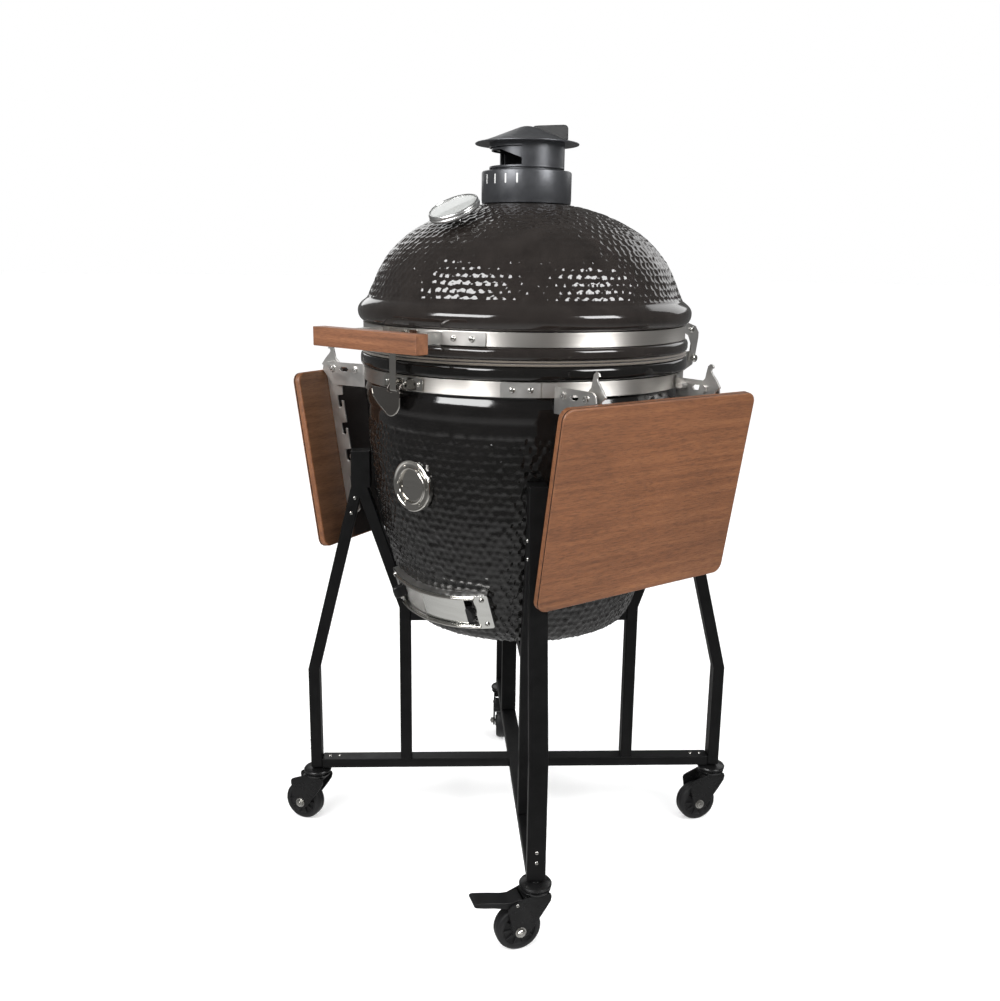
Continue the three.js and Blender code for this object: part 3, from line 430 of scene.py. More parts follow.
def dimple_rows(prof, zones, seed):
    """Lattice of dimple centres over a profile: list of (s, count, phase) rows."""
    s = np.concatenate([[0], np.cumsum(np.linalg.norm(np.diff(prof, axis=0), axis=1))])
    rows = []; x = 3.0; k = 0
    while x < s[-1] - 2:
        r = np.interp(x, s, prof[:, 0])
        n = [c for lim, c in zones if r > lim][0]
        rows.append((x, n, 0.5 * (k % 2))); k += 1
        x += 0.866 * 2 * math.pi * r / n
    return s, rows


def dimples(prof, zones, seg, depth, seed):
    rng = np.random.default_rng(seed)
    s, rows = dimple_rows(prof, zones, seed)
    jit = [(rng.normal(0, 0.095, n), rng.normal(0, 1.0, n), rng.uniform(0.72, 1.15, n)) for _, n, _ in rows]
    az = np.arange(seg) * 2 * math.pi / seg
    disp = np.zeros((seg, len(prof)))
    for i in range(len(prof)):
        r = prof[i, 0]; best = np.full(seg, 9.0); dep = np.ones(seg)
        for (x, n, ph), (ja, js, jd) in zip(rows, jit):
            pitch = 2 * math.pi * r / n
            if abs(x - s[i]) > 1.3 * pitch: continue
            k0 = np.round(az / (2 * math.pi) * n - ph).astype(int)
            for dk in (-1, 0, 1):
                k = (k0 + dk) % n
                ca = (k0 + dk + ph + ja[k]) / n * 2 * math.pi
                d = np.hypot((az - ca) * r, s[i] - x - js[k]) / (pitch * 0.585)
                m = d < best; best = np.where(m, d, best); dep = np.where(m, jd[k], dep)
        q = np.clip(best, 0, 1)
        edge = min(1.0, max(0.0, (s[i] - 0.5) / 4), max(0.0, (s[-1] - s[i]) / 5))
        disp[:, i] = -depth * dep * (1 - q * q) * edge
    return disp


def ceramic(name, parts, seg, mats, body, node, cut=None):
    """parts: list of (profile, disp or None) running along one closed outline."""
    prof = np.concatenate([p for p, _ in parts]); disp = np.concatenate([(d if d is not None else np.zeros((seg, len(p)))) for p, d in parts], axis=1)
    t = np.roll(prof, -1, 0) - np.roll(prof, 1, 0); t /= np.linalg.norm(t, axis=1)[:, None]
    nr = np.stack([t[:, 1], -t[:, 0]], -1)
    a = np.arange(seg) * 2 * math.pi / seg; n = len(prof)
    R = prof[None, :, 0] + disp * nr[None, :, 0]; Z = prof[None, :, 1] + disp * nr[None, :, 1]
    v = np.stack([np.sin(a)[:, None] * R, -np.cos(a)[:, None] * R, Z], -1).reshape(-1, 3)
    i = np.arange(seg)[:, None]; k = np.arange(n)[None, :]; j = (i + 1) % seg; l = (k + 1) % n
    f = np.stack([np.broadcast_to(i * n + k, (seg, n)), np.broadcast_to(j * n + k, (seg, n)), j * n + l, i * n + l], -1).reshape(-1, 4)
    if cut is not None:
        c = v[f].mean(1); keep = ~cut(c); f = f[keep]
    me = bpy.data.meshes.new(name); me.from_pydata(((v + [0, YA, 0]) * 0.001).tolist(), [], f.tolist())
    me.materials.append(mats)
    bm = bmesh.new(); bm.from_mesh(me)
    bmesh.ops.remove_doubles(bm, verts=bm.verts, dist=2e-6)
    bmesh.ops.dissolve_degenerate(bm, dist=1e-7, edges=bm.edges)
    if cut is not None:
        loose = [x for x in bm.verts if not x.link_faces]; bmesh.ops.delete(bm, geom=loose, context="VERTS")
        rim = [e for e in bm.edges if e.is_boundary]
        bmesh.ops.bridge_loops(bm, edges=rim)
    bmesh.ops.recalc_face_normals(bm, faces=bm.faces)
    bm.to_mesh(me); bm.free()
    me.polygons.foreach_set("use_smooth", [True] * len(me.polygons)); me.set_sharp_from_angle(angle=50 * D)
    return dress(me, name, body, [node], 0, 0)


SEG, SEG_B = 600, 540
# outline runs bottom lip -> outside -> top -> inside, so that (dz, -dr) points outwards
lip_d = [(262, 930.2), (284, 930), (286.8, 931.2), (288, 934.5), (288, 942.5), (286.6, 946.2), (283.6, 948.4), (279.9, 948.9), (279.7, 950.5), (279.7, 971.6), (280.6, 973.2)]
bulge = catmull([(280.6, 973.2), (284.2, 974.6), (287.8, 977.8), (290.6, 983.0), (291.8, 989.0), (291.5, 995.0), (289.0, 1000.6), (284.6, 1005.6), (279.6, 1009.6), (275.6, 1012.6)], 2.6)[1:]
up = catmull([(275.6, 1012.6), (270.4, 1025), (263.9, 1040), (254.9, 1060), (242.8, 1080), (226.4, 1100), (204.2, 1120), (180.3, 1135), (150.2, 1149.6), (124, 1159.4), (100, 1166), (79, 1169.9)], 2.4)[1:]
d_in = [(70, 1170.5), (58, 1170.5), (56, 1168), (56, 1150), (96, 1143), (140, 1126), (184, 1098), (222, 1056), (247, 1004), (256, 960), (256, 932)]
zones_d = [(228, 118), (172, 94), (124, 70), (0, 50)]
ceramic("dome_shell", [(np.array(lip_d), None), (bulge, None), (up, dimples(up, zones_d, SEG, 2.3, 3)), (np.array(d_in), None)], SEG, GLAZE, "lid", "dome")

sh_b = catmull([(280.0, 830.5), (279.4, 833.5), (280.2, 838)], 2)
low = [(FR, 438.0) for FR in (150,)] + [(176, 438.2)]
side = catmull([(176, 438.2), (188, 440.6), (197.5, 446.2), (204.8, 456), (211, 470), (221.5, 500), (234, 540), (245.5, 580), (255.5, 620), (264.5, 660), (270.5, 700), (274.3, 740), (276.6, 780), (277.6, 810)], 3.3)[1:]
band_b = [(277.8, 816), (277.7, 824), (277.9, 829.4), (278.8, 832.8), (280.2, 837), (281.1, 842), (281.4, 848), (281.1, 853), (280.2, 858), (278.8, 862.6), (277.2, 866.8), (276.4, 869.8), (277.0, 871.8), (279.7, 873.2), (279.7, 897.4), (280.6, 898.6), (284.2, 898.9), (287.0, 901.0), (288, 904.4), (288, 913), (287.2, 917.4), (284.6, 919.4), (262, 919.6)]
b_in = [(256, 917), (254, 880), (252, 780), (247, 700), (236, 640), (222, 580), (206, 530), (186, 490), (160, 468), (120, 462), (0.0, 462)]
DT = 19.07                                 # the draft opening leans with the wall
DOORM = tr(0, -26.3, 570.3) @ rx(DT)
DINV = np.linalg.inv(DOORM)


def inlet(c):
    q = c @ DINV[:3, :3].T + DINV[:3, 3]
    return (np.abs(q[:, 0]) < 60) & (np.abs(q[:, 2]) < 19) & (q[:, 1] < -120)


ceramic("bowl_shell", [(np.array([(0.0, 438.0)] + low), None), (side, dimples(side, [(238, 118), (0, 98)], SEG_B, 2.9, 5)), (np.array(band_b), None), (np.array(b_in), None)], SEG_B, GLAZE_B, "base", "bowl", inlet)

# felt gaskets
for nm, z0, z1, body, node in (("gasket_upper", 925.3, 929.7, "lid", "lid_gasket"), ("gasket_lower", 919.9, 924.7, "base", "base_gasket")):
    h = (z1 - z0) / 2; zc = (z0 + z1) / 2
    rr = [(285.4 - 1.8 + 1.8 * math.cos(a * D), zc + (h - 0.55) * math.sin(a * D)) for a in range(-90, 91, 18)]
    piece(nm, lathe(rr + [(259, z1 - 0.6), (259, z0 + 0.6)], 256), FELT, body, [node])

# inside: firebox, ring and grates
piece("firebox_wall", B().add(lathe([(95, 462.6), (118, 462.4), (150, 467.5), (176, 490), (196, 530), (212, 580), (226, 640), (236, 700), (240, 745), (238, 748), (216, 748), (214, 745), (208, 690), (198, 630), (186, 582), (176, 553), (164, 551), (152, 515), (140, 496), (95, 494)], 96)), CLAY, "base", ["firebox"])
piece("firebox_floor", lathe([(0, 470), (96, 470), (96, 492), (0, 492)], 64), CLAY, "base", ())
piece("fire_ring_body", lathe([(216, 748.4), (238, 748.4), (240, 750), (244, 800), (246, 850), (244, 852), (224, 852), (222, 850), (219, 800), (214, 750)], 128), CLAY, "base", ["fire_ring"])
from_cad("charcoal_grate", IRON, "base", 0.8, 2)
g = B()
for R in (239.2, 150.0): g.add(tube([at(a, R, 855.4) for a in np.arange(0, 360, 5)], 2.8, 10, True))
for y in np.arange(-216, 217, 16.0):
    h = math.sqrt(max(0, 239.2 ** 2 - y * y)); g.add(tube([(-h, y, 855.6), (-h / 3, y, 855.6), (h / 3, y, 855.6), (h, y, 855.6)], 1.9, 8))
piece("cooking_grate_wire", g, SATIN, "base", ["cooking_grate"])

# ------------------------------------------------------------------ bands
def bandring(name, z0, z1, body, node):
    p = [(280.1, z0 + .3), (282.0, z0), (282.8, z0 + .35), (283, z0 + 1.1), (282.75, z0 + 2.2), (282.75, z1 - 2.2), (283, z1 - 1.1), (282.8, z1 - .35), (282.0, z1), (280.1, z1 - .3)]
    return piece(name, lathe(p, 256), BAND, body, [node])


bandring("band_upper", 949.3, 972, "lid", "upper_band")
bandring("band_lower", 873, 897, "base", "lower_band")


def on_wall(a, r, z): return facing(at(a, r, z), at(a, 1.0))


clamp = B().add(ringplate(282.6, 285.6, 33.6, 46.1, 873.6, 896.6, 12, 1.6))
piece("clamp_plate", clamp, PLATE, "base", (), bevel=0.5)
scr = B()
for a in (37.3, 43.0): scr.add(screw(4.6, 3.2), on_wall(a, 285.6, 885))
piece("clamp_screws", scr, ZINC, "base", ())

# ------------------------------------------------------------------ lid handle
bar = B().add(prism(rrect(-376, -351, 942, 972, 1.2, 3), -118, 118, "yz"))
piece("handle_wood_bar", bar, WOODH, "lid", ["handle_bar"], bevel=1.0, bseg=3)
for s, nm in ((1, "right"), (-1, "left")):
    b = B(); a0, a1 = sorted((s * 13.2, s * 29))
    b.add(ringplate(283.4, 286.4, a0, a1, 950.1, 971.0, 14, 3.2))
    p0, p1 = at(13.2, 283.9), at(14.6, 285.4)
    st = [(p0[0], p0[1]), (p1[0], p1[1]), (77, -350.2), (73.8, -350.2)]
    b.add(prism([(s * x, y) for x, y in st], 951.6, 969.8))
    x0, x1 = sorted((s * 50, s * 77)); b.add(box(x0, x1, -350.7, -347.6, 951.6, 969.8))
    piece("handle_bracket_plate_" + nm, b, PLATE, "lid", ["handle_bracket_" + nm], bevel=0.5)
    q = B()
    for a in (18.5, 24.6): q.add(screw(4.8, 3.6), on_wall(s * a, 286.4, 960.5))
    for x in (56, 68): q.add(screw(3.4, 2.4), facing((s * x, -347.6, 960.6), (0, 1, 0)))
    piece("handle_screws_" + nm, q, ZINC, "lid", ())

# ------------------------------------------------------------------ hinge
from_cad("hinge_upper_bracket", PLATE, "lid", 0.5, 2)
from_cad("hinge_lower_bracket", PLATE, "base", 0.5, 2)
pin = B().add(cyl(4.8, 290, 32), tr(0, 340, 897) @ ry(90))
for s in (1, -1): pin.add(screw(8, 4.2), facing((s * 145, 340, 897), (s, 0, 0)))
piece("hinge_rod", pin, ZINC, "base", ["hinge_pin"])
for s, nm in ((1, "right"), (-1, "left")):
    n = 13 * 22; t = np.linspace(0, 1, n)
    path = np.stack([s * (31.5 + 89 * t), 340 + 8.7 * np.cos(2 * math.pi * 13 * t), 897 + 8.7 * np.sin(2 * math.pi * 13 * t)], -1)
    piece("hinge_coil_" + nm, tube(path, 1.7, 8), ZINC, "base", ["hinge_spring_" + nm])
hb = B()
for s in (1, -1):
    hb.add(screw(6.4, 3.4), facing((s * 141, 332, 952), (s, 0, 0)))
    for a in (180 - 20, 180 - 26): hb.add(screw(4.4, 3.2), on_wall(s * a, 286.6, 960.8))
piece("hinge_screws_upper", hb, ZINC, "lid", ())
hb = B()
for s in (1, -1):
    for a in (180 - 20, 180 - 26): hb.add(screw(4.4, 3.2), on_wall(s * a, 286.6, 885))
piece("hinge_screws_lower", hb, ZINC, "base", ())

# ------------------------------------------------------------------ latch
lb = B().add(ringplate(283.3, 286.2, -11.6, 7.2, 875, 895, 10, 2.0))
for x in (-26.8, 8.4): lb.add(prism([(-285, 876), (-285, 892), (-293, 891.6), (-297, 889), (-300.6, 886), (-301.5, 883), (-300.6, 880), (-297, 876.6)], x, x + 2.4, "yz"))
piece("latch_base_plate", lb, CHROME, "base", ["latch_base"], bevel=0.4)
q = B().add(cyl(2.55, 37.6, 20), tr(-8, -297, 883) @ ry(90))
q.add(screw(3.6, 2.6), on_wall(-10.0, 286.2, 885)); q.add(screw(3.6, 2.6), on_wall(5.4, 286.2, 885))
piece("latch_pin", q, ZINC, "base", ())
lx = [-80, -79, -77, -72, -66, -58, -50, -44, -38, -32, -27, -22, -17, -12, -8, -5, -3, -1.8, -1.0]
lz = np.interp(lx, [-80, -77, -68, -56, -44, -34, -24, -14, -6, -3, -1.5, -1], [869, 861.5, 853.5, 846.5, 839.6, 833.6, 831.2, 833.6, 841, 846, 851, 862])
cols = [math.degrees(math.asin(x / 298.2)) for x in lx]
zl = dict(zip([round(c, 6) for c in cols], lz))
def rows(c):
    z = zl[round(c, 6)]
    return [z + (874.4 - z) * t for t in (0, 0.33, 0.66, 1)]
sh = shell(cols, rows, 299.2)
piece("latch_paddle", sh, LATCH, "latch_lever", ["latch_lever"], solid=2.0, bevel=0.5)
edge = tube([at(c, 299.0, z) for c, z in zip(cols, lz)], 1.15, 8)
piece("latch_paddle_edge", edge, CHROME, "latch_lever", ())
lv = B()
for x in (-24, 4): lv.add(prism([(-292.6, 886), (-294.6, 888.4), (-299.4, 888.4), (-301.6, 885), (-306.4, 878), (-306.4, 873.6), (-304, 871.2), (-292.8, 870.8)], x, x + 3, "yz"))
lv.add(box(-24, 7, -299.2, -296.4, 870, 875)); lv.add(cyl(1.9, 31, 16), tr(-8.5, -303, 876) @ ry(90))
piece("latch_lever_eyes", lv, LATCH, "latch_lever", (), bevel=0.3)
hk = B().add(prism([(-306.6, 876), (-306.8, 890), (-306.8, 953.6), (-306.2, 955.6), (-304.6, 956.4), (-301.4, 956.4), (-301.0, 953.6), (-303.4, 953.6), (-304.4, 952.4), (-304.4, 879.4), (-302, 879.2), (-300.4, 877.6), (-300.2, 874.8), (-301.8, 873.2), (-304.2, 872.9), (-306, 874)], -16, -1, "yz"))
piece("latch_hook_strap", hk, CHROME, "latch_hook", ["latch_hook"], bevel=0.35)
kp = B().add(ringplate(283.4, 286.2, -8, 5, 950.3, 970, 8, 1.5)); kp.add(box(-17, 0, -299.6, -284.4, 950.3, 952.9))
piece("latch_keeper_plate", kp, CHROME, "lid", ["latch_keeper"], bevel=0.35)
q = B(); [q.add(screw(3.2, 2.4), on_wall(a, 286.2, 962)) for a in (-5, 2.5)]
piece("keeper_screws", q, ZINC, "lid", ())

# ------------------------------------------------------------------ thermometer
TH = tr(0, -169.3, 1141.3) @ rx(math.degrees(math.atan2(0.486, 0.874)))
case = [(0, -44), (2.6, -43), (3, -41), (3, -2), (6.6, -2), (6.6, 6.5), (24, 7.0), (35.0, 9.4), (38.4, 11.4), (40.8, 12.2), (42.6, 13.4), (43.4, 15.2), (43.2, 16.8), (42.0, 17.8), (41.8, 18.6), (42.4, 19.6), (42.5, 21.4), (41.8, 23.2), (40.4, 24), (39.4, 23.6), (39.0, 22.4), (39, 17), (37.5, 16.6), (0, 16.6)]
piece("thermometer_body", lathe(case, 128), SATIN, "lid", ["thermometer_case"], M=TH, smooth=40)
piece("thermometer_face", B().add(lathe([(0, 17), (37.4, 17), (37.4, 17.3), (0, 17.3)], 96)).add(lathe([(33.4, 17.3), (34.2, 17.5), (34.2, 17.3)], 96)), FACE, "lid", (), M=TH)
tk = B()
for k in range(28):
    a = -135 + 10 * k; L = 4.2 if k % 3 == 0 else 2.4
    tk.add(box(-0.3, 0.3, 32.6 - L, 32.6, 17.3, 17.45), rz(-a))
piece("thermometer_marks", tk, PLASTIC, "lid", (), M=TH)
nd = B().add(prism([(-1.8, -8), (1.8, -8), (2.2, -4), (0.6, 28), (-0.6, 28), (-2.2, -4)], 18, 18.7)).add(lathe([(0, 18), (3.2, 18), (3.2, 19.2), (2.4, 19.7), (0, 19.8)], 32))
piece("thermometer_pointer", nd, RED, "thermometer_needle", ["thermometer_needle"], M=TH)
piece("thermometer_glass", lathe([(0, 21.6), (38.5, 21.6), (38.6, 22.6), (37, 23.0), (0, 23.3)], 96), LENS_GLARE, "lid", ["thermometer_lens"], M=TH)

# ------------------------------------------------------------------ vent
col = [(55.5, 1171.2), (75.5, 1171.2), (76.6, 1172), (77.0, 1173.4), (77.0, 1176), (77.4, 1177), (77.4, 1221.6), (76.9, 1223.8), (75.4, 1225), (66.6, 1225), (66.2, 1222), (66.2, 1184), (61.4, 1183), (57.4, 1183), (55.5, 1180)]
piece("vent_collar", lathe(col, 160), VENT, "lid", ["vent_base"])
tkb = B()
for a in (-18.9, -2.3, 13.7, 28.8): tkb.add(ringplate(76.9, 77.48, a - 1.0, a + 1.0, 1202.5, 1218, 2, 1.2, 4))
piece("vent_marks", tkb, TICK, "lid", ())
wc = sorted(set([round(x, 3) for x in np.arange(-180, 181, 4)] + [-98.0, -6.0, 50.0]))
def wrow(c):
    top = 1258.5 if c < -6 else 1258.5 - (c + 6) * 21.5 / 56
    top = min(max(top, 1235), 1258.5) if -98 <= c <= 50 else 1250.0
    return [1180, 1233, top, 1262]
sh = shell(wc, wrow, 61.0, lambda i, j: j == 1 and -98 <= wc[i] < 50)
piece("vent_inner_sleeve", sh, VENT, "lid", (), solid=2.6, bevel=0.25)
sc_ = sorted(set([round(x, 3) for x in np.arange(-180, 181, 3)] + [-92.0, 33.0]))
sh = shell(sc_, lambda c: [1229, 1232.6, 1263.0, 1275.2], 64.4, lambda i, j: j == 1 and -92 <= sc_[i] < 33)
piece("vent_sleeve", sh, VENT, "vent_cap", ["vent_cap"], solid=2.4, bevel=0.3)
bead = lathe([(64.3, 1228.9), (64.5, 1229.6), (64.5, 1231.4), (64.2, 1232), (62, 1232), (62, 1228.9)], 128)
cap = catmull([(0, 1300.0), (6, 1299.4), (14, 1297.4), (30, 1291.4), (48, 1284.4), (66, 1277.6), (80, 1273.4), (87.6, 1271.8)], 3)
capi = [(88.8, 1271.2), (89, 1270.2), (88.4, 1269.2), (87, 1269.0), (78, 1271.0), (66, 1274.2), (62, 1275.6), (40, 1284), (14, 1293.6), (0, 1295.6)]
piece("vent_roof", B().add(lathe(list(map(tuple, cap)) + capi, 160)).add(bead), VENT, "vent_cap", ())
fp = [(9, 1297.6), (13, 1300.0), (20, 1300.5), (62, 1301.2), (66.4, 1300.6), (69, 1298.6), (69.9, 1295), (70, 1277.8), (67, 1276.2), (40, 1286.6), (12, 1296.6)]
piece("vent_fin", prism(fp, -3.5, 3.5, "xz"), FIN, "vent_cap", (), M=rz(30), bevel=1.2, bseg=3)

# ------------------------------------------------------------------ badge
BM = facing((0, -273.4, 716), (0, -1, 0))
br = [(27.2, -4), (43, -5.5), (43, 1.8), (42.4, 3.2), (41.2, 4.0), (39.8, 3.6), (38.6, 2.2), (37.6, 1.7), (31.6, 1.7), (30.8, 2.4), (30.2, 4.2), (29.2, 5.0), (28.2, 4.6), (27.4, 3.0)]
rb = B().add(lathe(br, 128))
for k in range(6): rb.add(lathe([(0, 1.2), (1.9, 1.2), (1.8, 2.5), (1.2, 3.1), (0, 3.3)], 20), rz(30 + 60 * k) @ tr(0, -34.6, 0))
piece("badge_rim", rb, CHROME, "base", ["badge_ring"], M=BM)
bd = B().add(lathe([(0, -2), (27.3, -3), (27.3, 0.6), (26, 0.9), (0, 1.2)], 96))
half = [(25.6 * math.cos(a * D), 25.6 * math.sin(a * D)) for a in range(-180, 1, 6)]
bd.add(prism([(1.0, -0.3), (25.6, -0.3)] + [(24.8 * math.cos(a * D), 24.8 * math.sin(a * D)) for a in range(-8, -172, -6)] + [(-24.6, -3.6), (-8, -5.4)], 0.6, 1.75))
piece("badge_plate", bd, CHROME, "base", ["badge_disc"], M=BM, bevel=0.25)

# ------------------------------------------------------------------ draft door
pc = sorted(set([round(x, 3) for x in np.linspace(-31.3, 31.3, 43)] + [-24.6, 24.6, -31.0, 31.0, -30.4, 30.4]))
def prow(c):
    e = (31.3 - abs(c)) * D * 221; cut = 3.5 - math.sqrt(max(0, 3.5 ** 2 - (3.5 - e) ** 2)) if e < 3.5 else 0
    return [-33 + cut, -25.5, 25.5, 33 - cut]
sh = shell(pc, prow, 221, lambda i, j: j == 1 and -24.6 <= pc[i] < 24.55)
piece("draft_front_plate", sh, DOOR, "base", ["draft_frame"], M=DOORM, solid=1.8, bevel=0.3)
fr = B()
for w in (31.0, -31.0): fr.add(ringplate(204, 220.2, -31.0, 31.0, w - 1.6, w + 1.6, 24))
for a in (-30.5, 30.5): fr.add(ringplate(202, 220.2, a - 0.35, a + 0.35, -31, 31, 2))
piece("draft_frame_walls", fr, PLATE, "base", (), M=DOORM)
fr = B()
for w in (28.6, -28.6): fr.add(tube([at(a, 222.2, w) for a in np.linspace(-25.2, 25.2, 40)], 2.7, 12))
piece("draft_rails", fr, CHROME, "base", (), M=DOORM)
fr = B()
for a in (28.4, -28.4):
    for w in (24, -24): fr.add(screw(4.4, 3.2), on_wall(a, 221, w))
piece("draft_screws", fr, ZINC, "base", (), M=DOORM)
piece("draft_slide", ringplate(216.7, 218, -4.4, 19.6, -28.4, 28.4, 24, 1.0), DOOR, "draft_door", ["draft_door"], M=DOORM, bevel=0.3)
kn = [(-4.6, -14), (-1, -14), (2.4, -13), (5.2, -10.4), (7.0, -6), (7.6, 0), (7.0, 6), (5.2, 10.4), (2.4, 13), (-1, 14), (-4.6, 14)]
piece("draft_slide_knob", prism(kn, -14, -2.6, "xz"), PLASTIC, "draft_door", ["draft_door_knob"], M=DOORM @ rz(22.2) @ tr(0, -218, 0), bevel=1.6, bseg=3)
ps = B(); na, nw = 24, 15; a_ = np.linspace(-29.4, -6.4, na + 1); w_ = np.linspace(-27.6, 27.6, nw + 1)
vv, ff = [], []
for i in range(na):
    for j in range(nw):
        ca, cw = (a_[i] + a_[i + 1]) / 2, (w_[j] + w_[j + 1]) / 2; ha, hw = (a_[1] - a_[0]) / 2, (w_[1] - w_[0]) / 2; k = len(vv)
        for q in range(8):
            t = (q * 45) * D; sx, sz = math.cos(t), math.sin(t); g_ = 1 / max(abs(sx), abs(sz))
            vv.append(at(ca + ha * sx * g_, 213.6, cw + hw * sz * g_))
        for q in range(8):
            t = (q * 45) * D; vv.append(at(ca + 0.62 * ha * math.cos(t), 213.6, cw + 0.62 * hw * math.sin(t)))
        ff += [(k + q, k + (q + 1) % 8, k + 8 + (q + 1) % 8, k + 8 + q) for q in range(8)]
ps.add((np.array(vv), ff))
piece("draft_mesh_screen", ps, PLATE, "draft_screen", ["draft_screen"], M=DOORM, solid=1.2)
piece("draft_screen_grip", loft([[(x * k_, y_, z * k_) for x, z in rrect(-5, 5, -12, 12, 4.8, 6)] for y_, k_ in ((-0.4, 1.0), (-15, 1.0), (-20.4, 0.96), (-22.8, 0.8), (-23.4, 0.6))]), PLASTIC, "draft_screen", ["draft_screen_knob"], M=DOORM @ rz(-23.2) @ tr(0, -213.6, 0), bevel=0.4)

# ------------------------------------------------------------------ stand
LEGS = (("front_right", 45.7), ("front_left", -45.7), ("rear_right", 134.3), ("rear_left", 225.7))
for n, A in LEGS: from_cad("leg_" + n, COAT, "base", 2.2, 3)
from_cad("lower_cross", COAT, "base", 1.6, 3)
from_cad("upper_cross", COAT, "base", 1.6, 3)
sb = B()
def legpt(A, r, t, z): return np.array([r * math.sin(A * D) + t * math.cos(A * D), -r * math.cos(A * D) + t * math.sin(A * D), z])
for n, A in LEGS:
    for z in (625, 653):
        r = 310 + (674 - z) * 87.8 / 354; N = at(A, 0.97) + np.array([0, 0, 0.24])
        sb.add(screw(3.6, 2.6), facing(legpt(A, r - 3, 0, z), N))
        for s in (1, -1): sb.add(screw(3.4, 2.4), facing(legpt(A, r - 12, 15 * s, z), legpt(A, 0, s, 0)))
    for r in (344, 362): sb.add(screw(3.2, 2.2), facing(legpt(A, r, 0, 134), (0, 0, 1)))
    for z in (150, 168):
        sb.add(screw(3.2, 2.2), facing(at(A, 397.5, z), at(A, 1.0)))
piece("stand_screws", sb, ZINC, "base", ())

# ------------------------------------------------------------------ shelves
st = 9.37 * D; dn = np.array([-math.sin(st), -math.cos(st)]); inw = np.array([-math.cos(st), math.sin(st)]); TOP = np.array([365.3, 873.3])
def bpt(u, t, v):                          # board point: down u, along t, inward v
    q = TOP + dn * u + inw * v; return (q[0], t, q[1])
for side, A, W in (("right", 77.7, WOODR), ("left", -77.7, WOODL)):
    G = rz(A - 90)
    rings = []
    for v, ins in ((0.0, 2.4), (0.25, 1.4), (0.9, 0.5), (2.0, 0.1), (3.2, 0.0), (3.6, 1.4), (4.7, 1.4), (5.1, 0.0), (12.6, 0.0), (14.0, 0.5), (14.75, 1.5), (15.0, 2.6)):
        rings.append([bpt(y, x, v) for x, y in rrect(-200.5 + ins, 200.5 - ins, ins, 322 - ins, 17 - ins * 0.7, 10)])
    b = B(); vf = loft(rings); b.add(vf); n = len(rings[0])
    # the groove faces take the painted-shade colour
    for k in (4, 5, 6): b.m[k * n:(k + 1) * n] = [1] * n
    # the inner end face takes the back material with its painted shade
    b.m[11 * n + 1] = 2
    piece("shelf_plank_" + side, b, [W, GROOVE_SHADE, SHADED_BACKS[side]], "shelf_" + side, ["shelf_board_" + side], M=G, smooth=40)
    q = B()
    for t in (-120, 120):
        for u in (36, 250): q.add(screw(4.2, 2.4), facing(bpt(u, t + (6 if t < 0 else -6), 15), (inw[0], 0, inw[1])))
    piece("shelf_screws_" + side, q, ZINC, "shelf_" + side, (), M=G)
    for e in ("front", "rear"):
        from_cad(f"shelf_arm_{side}_{e}", PLATE, "shelf_" + side, 0.45, 2)
        from_cad(f"shelf_bracket_{side}_{e}", PLATE, "base", 0.45, 2)
    q = B()
    for t, s in ((131.6, 1), (-131.6, -1)):
        q.add(screw(6.0, 3.8), facing((328, t, 880), (0, s, 0))); q.add(screw(5.4, 3.8), facing((276, t, 879.6), (0, s, 0)))
    piece("shelf_bracket_screws_" + side, q, ZINC, "base", (), M=G)

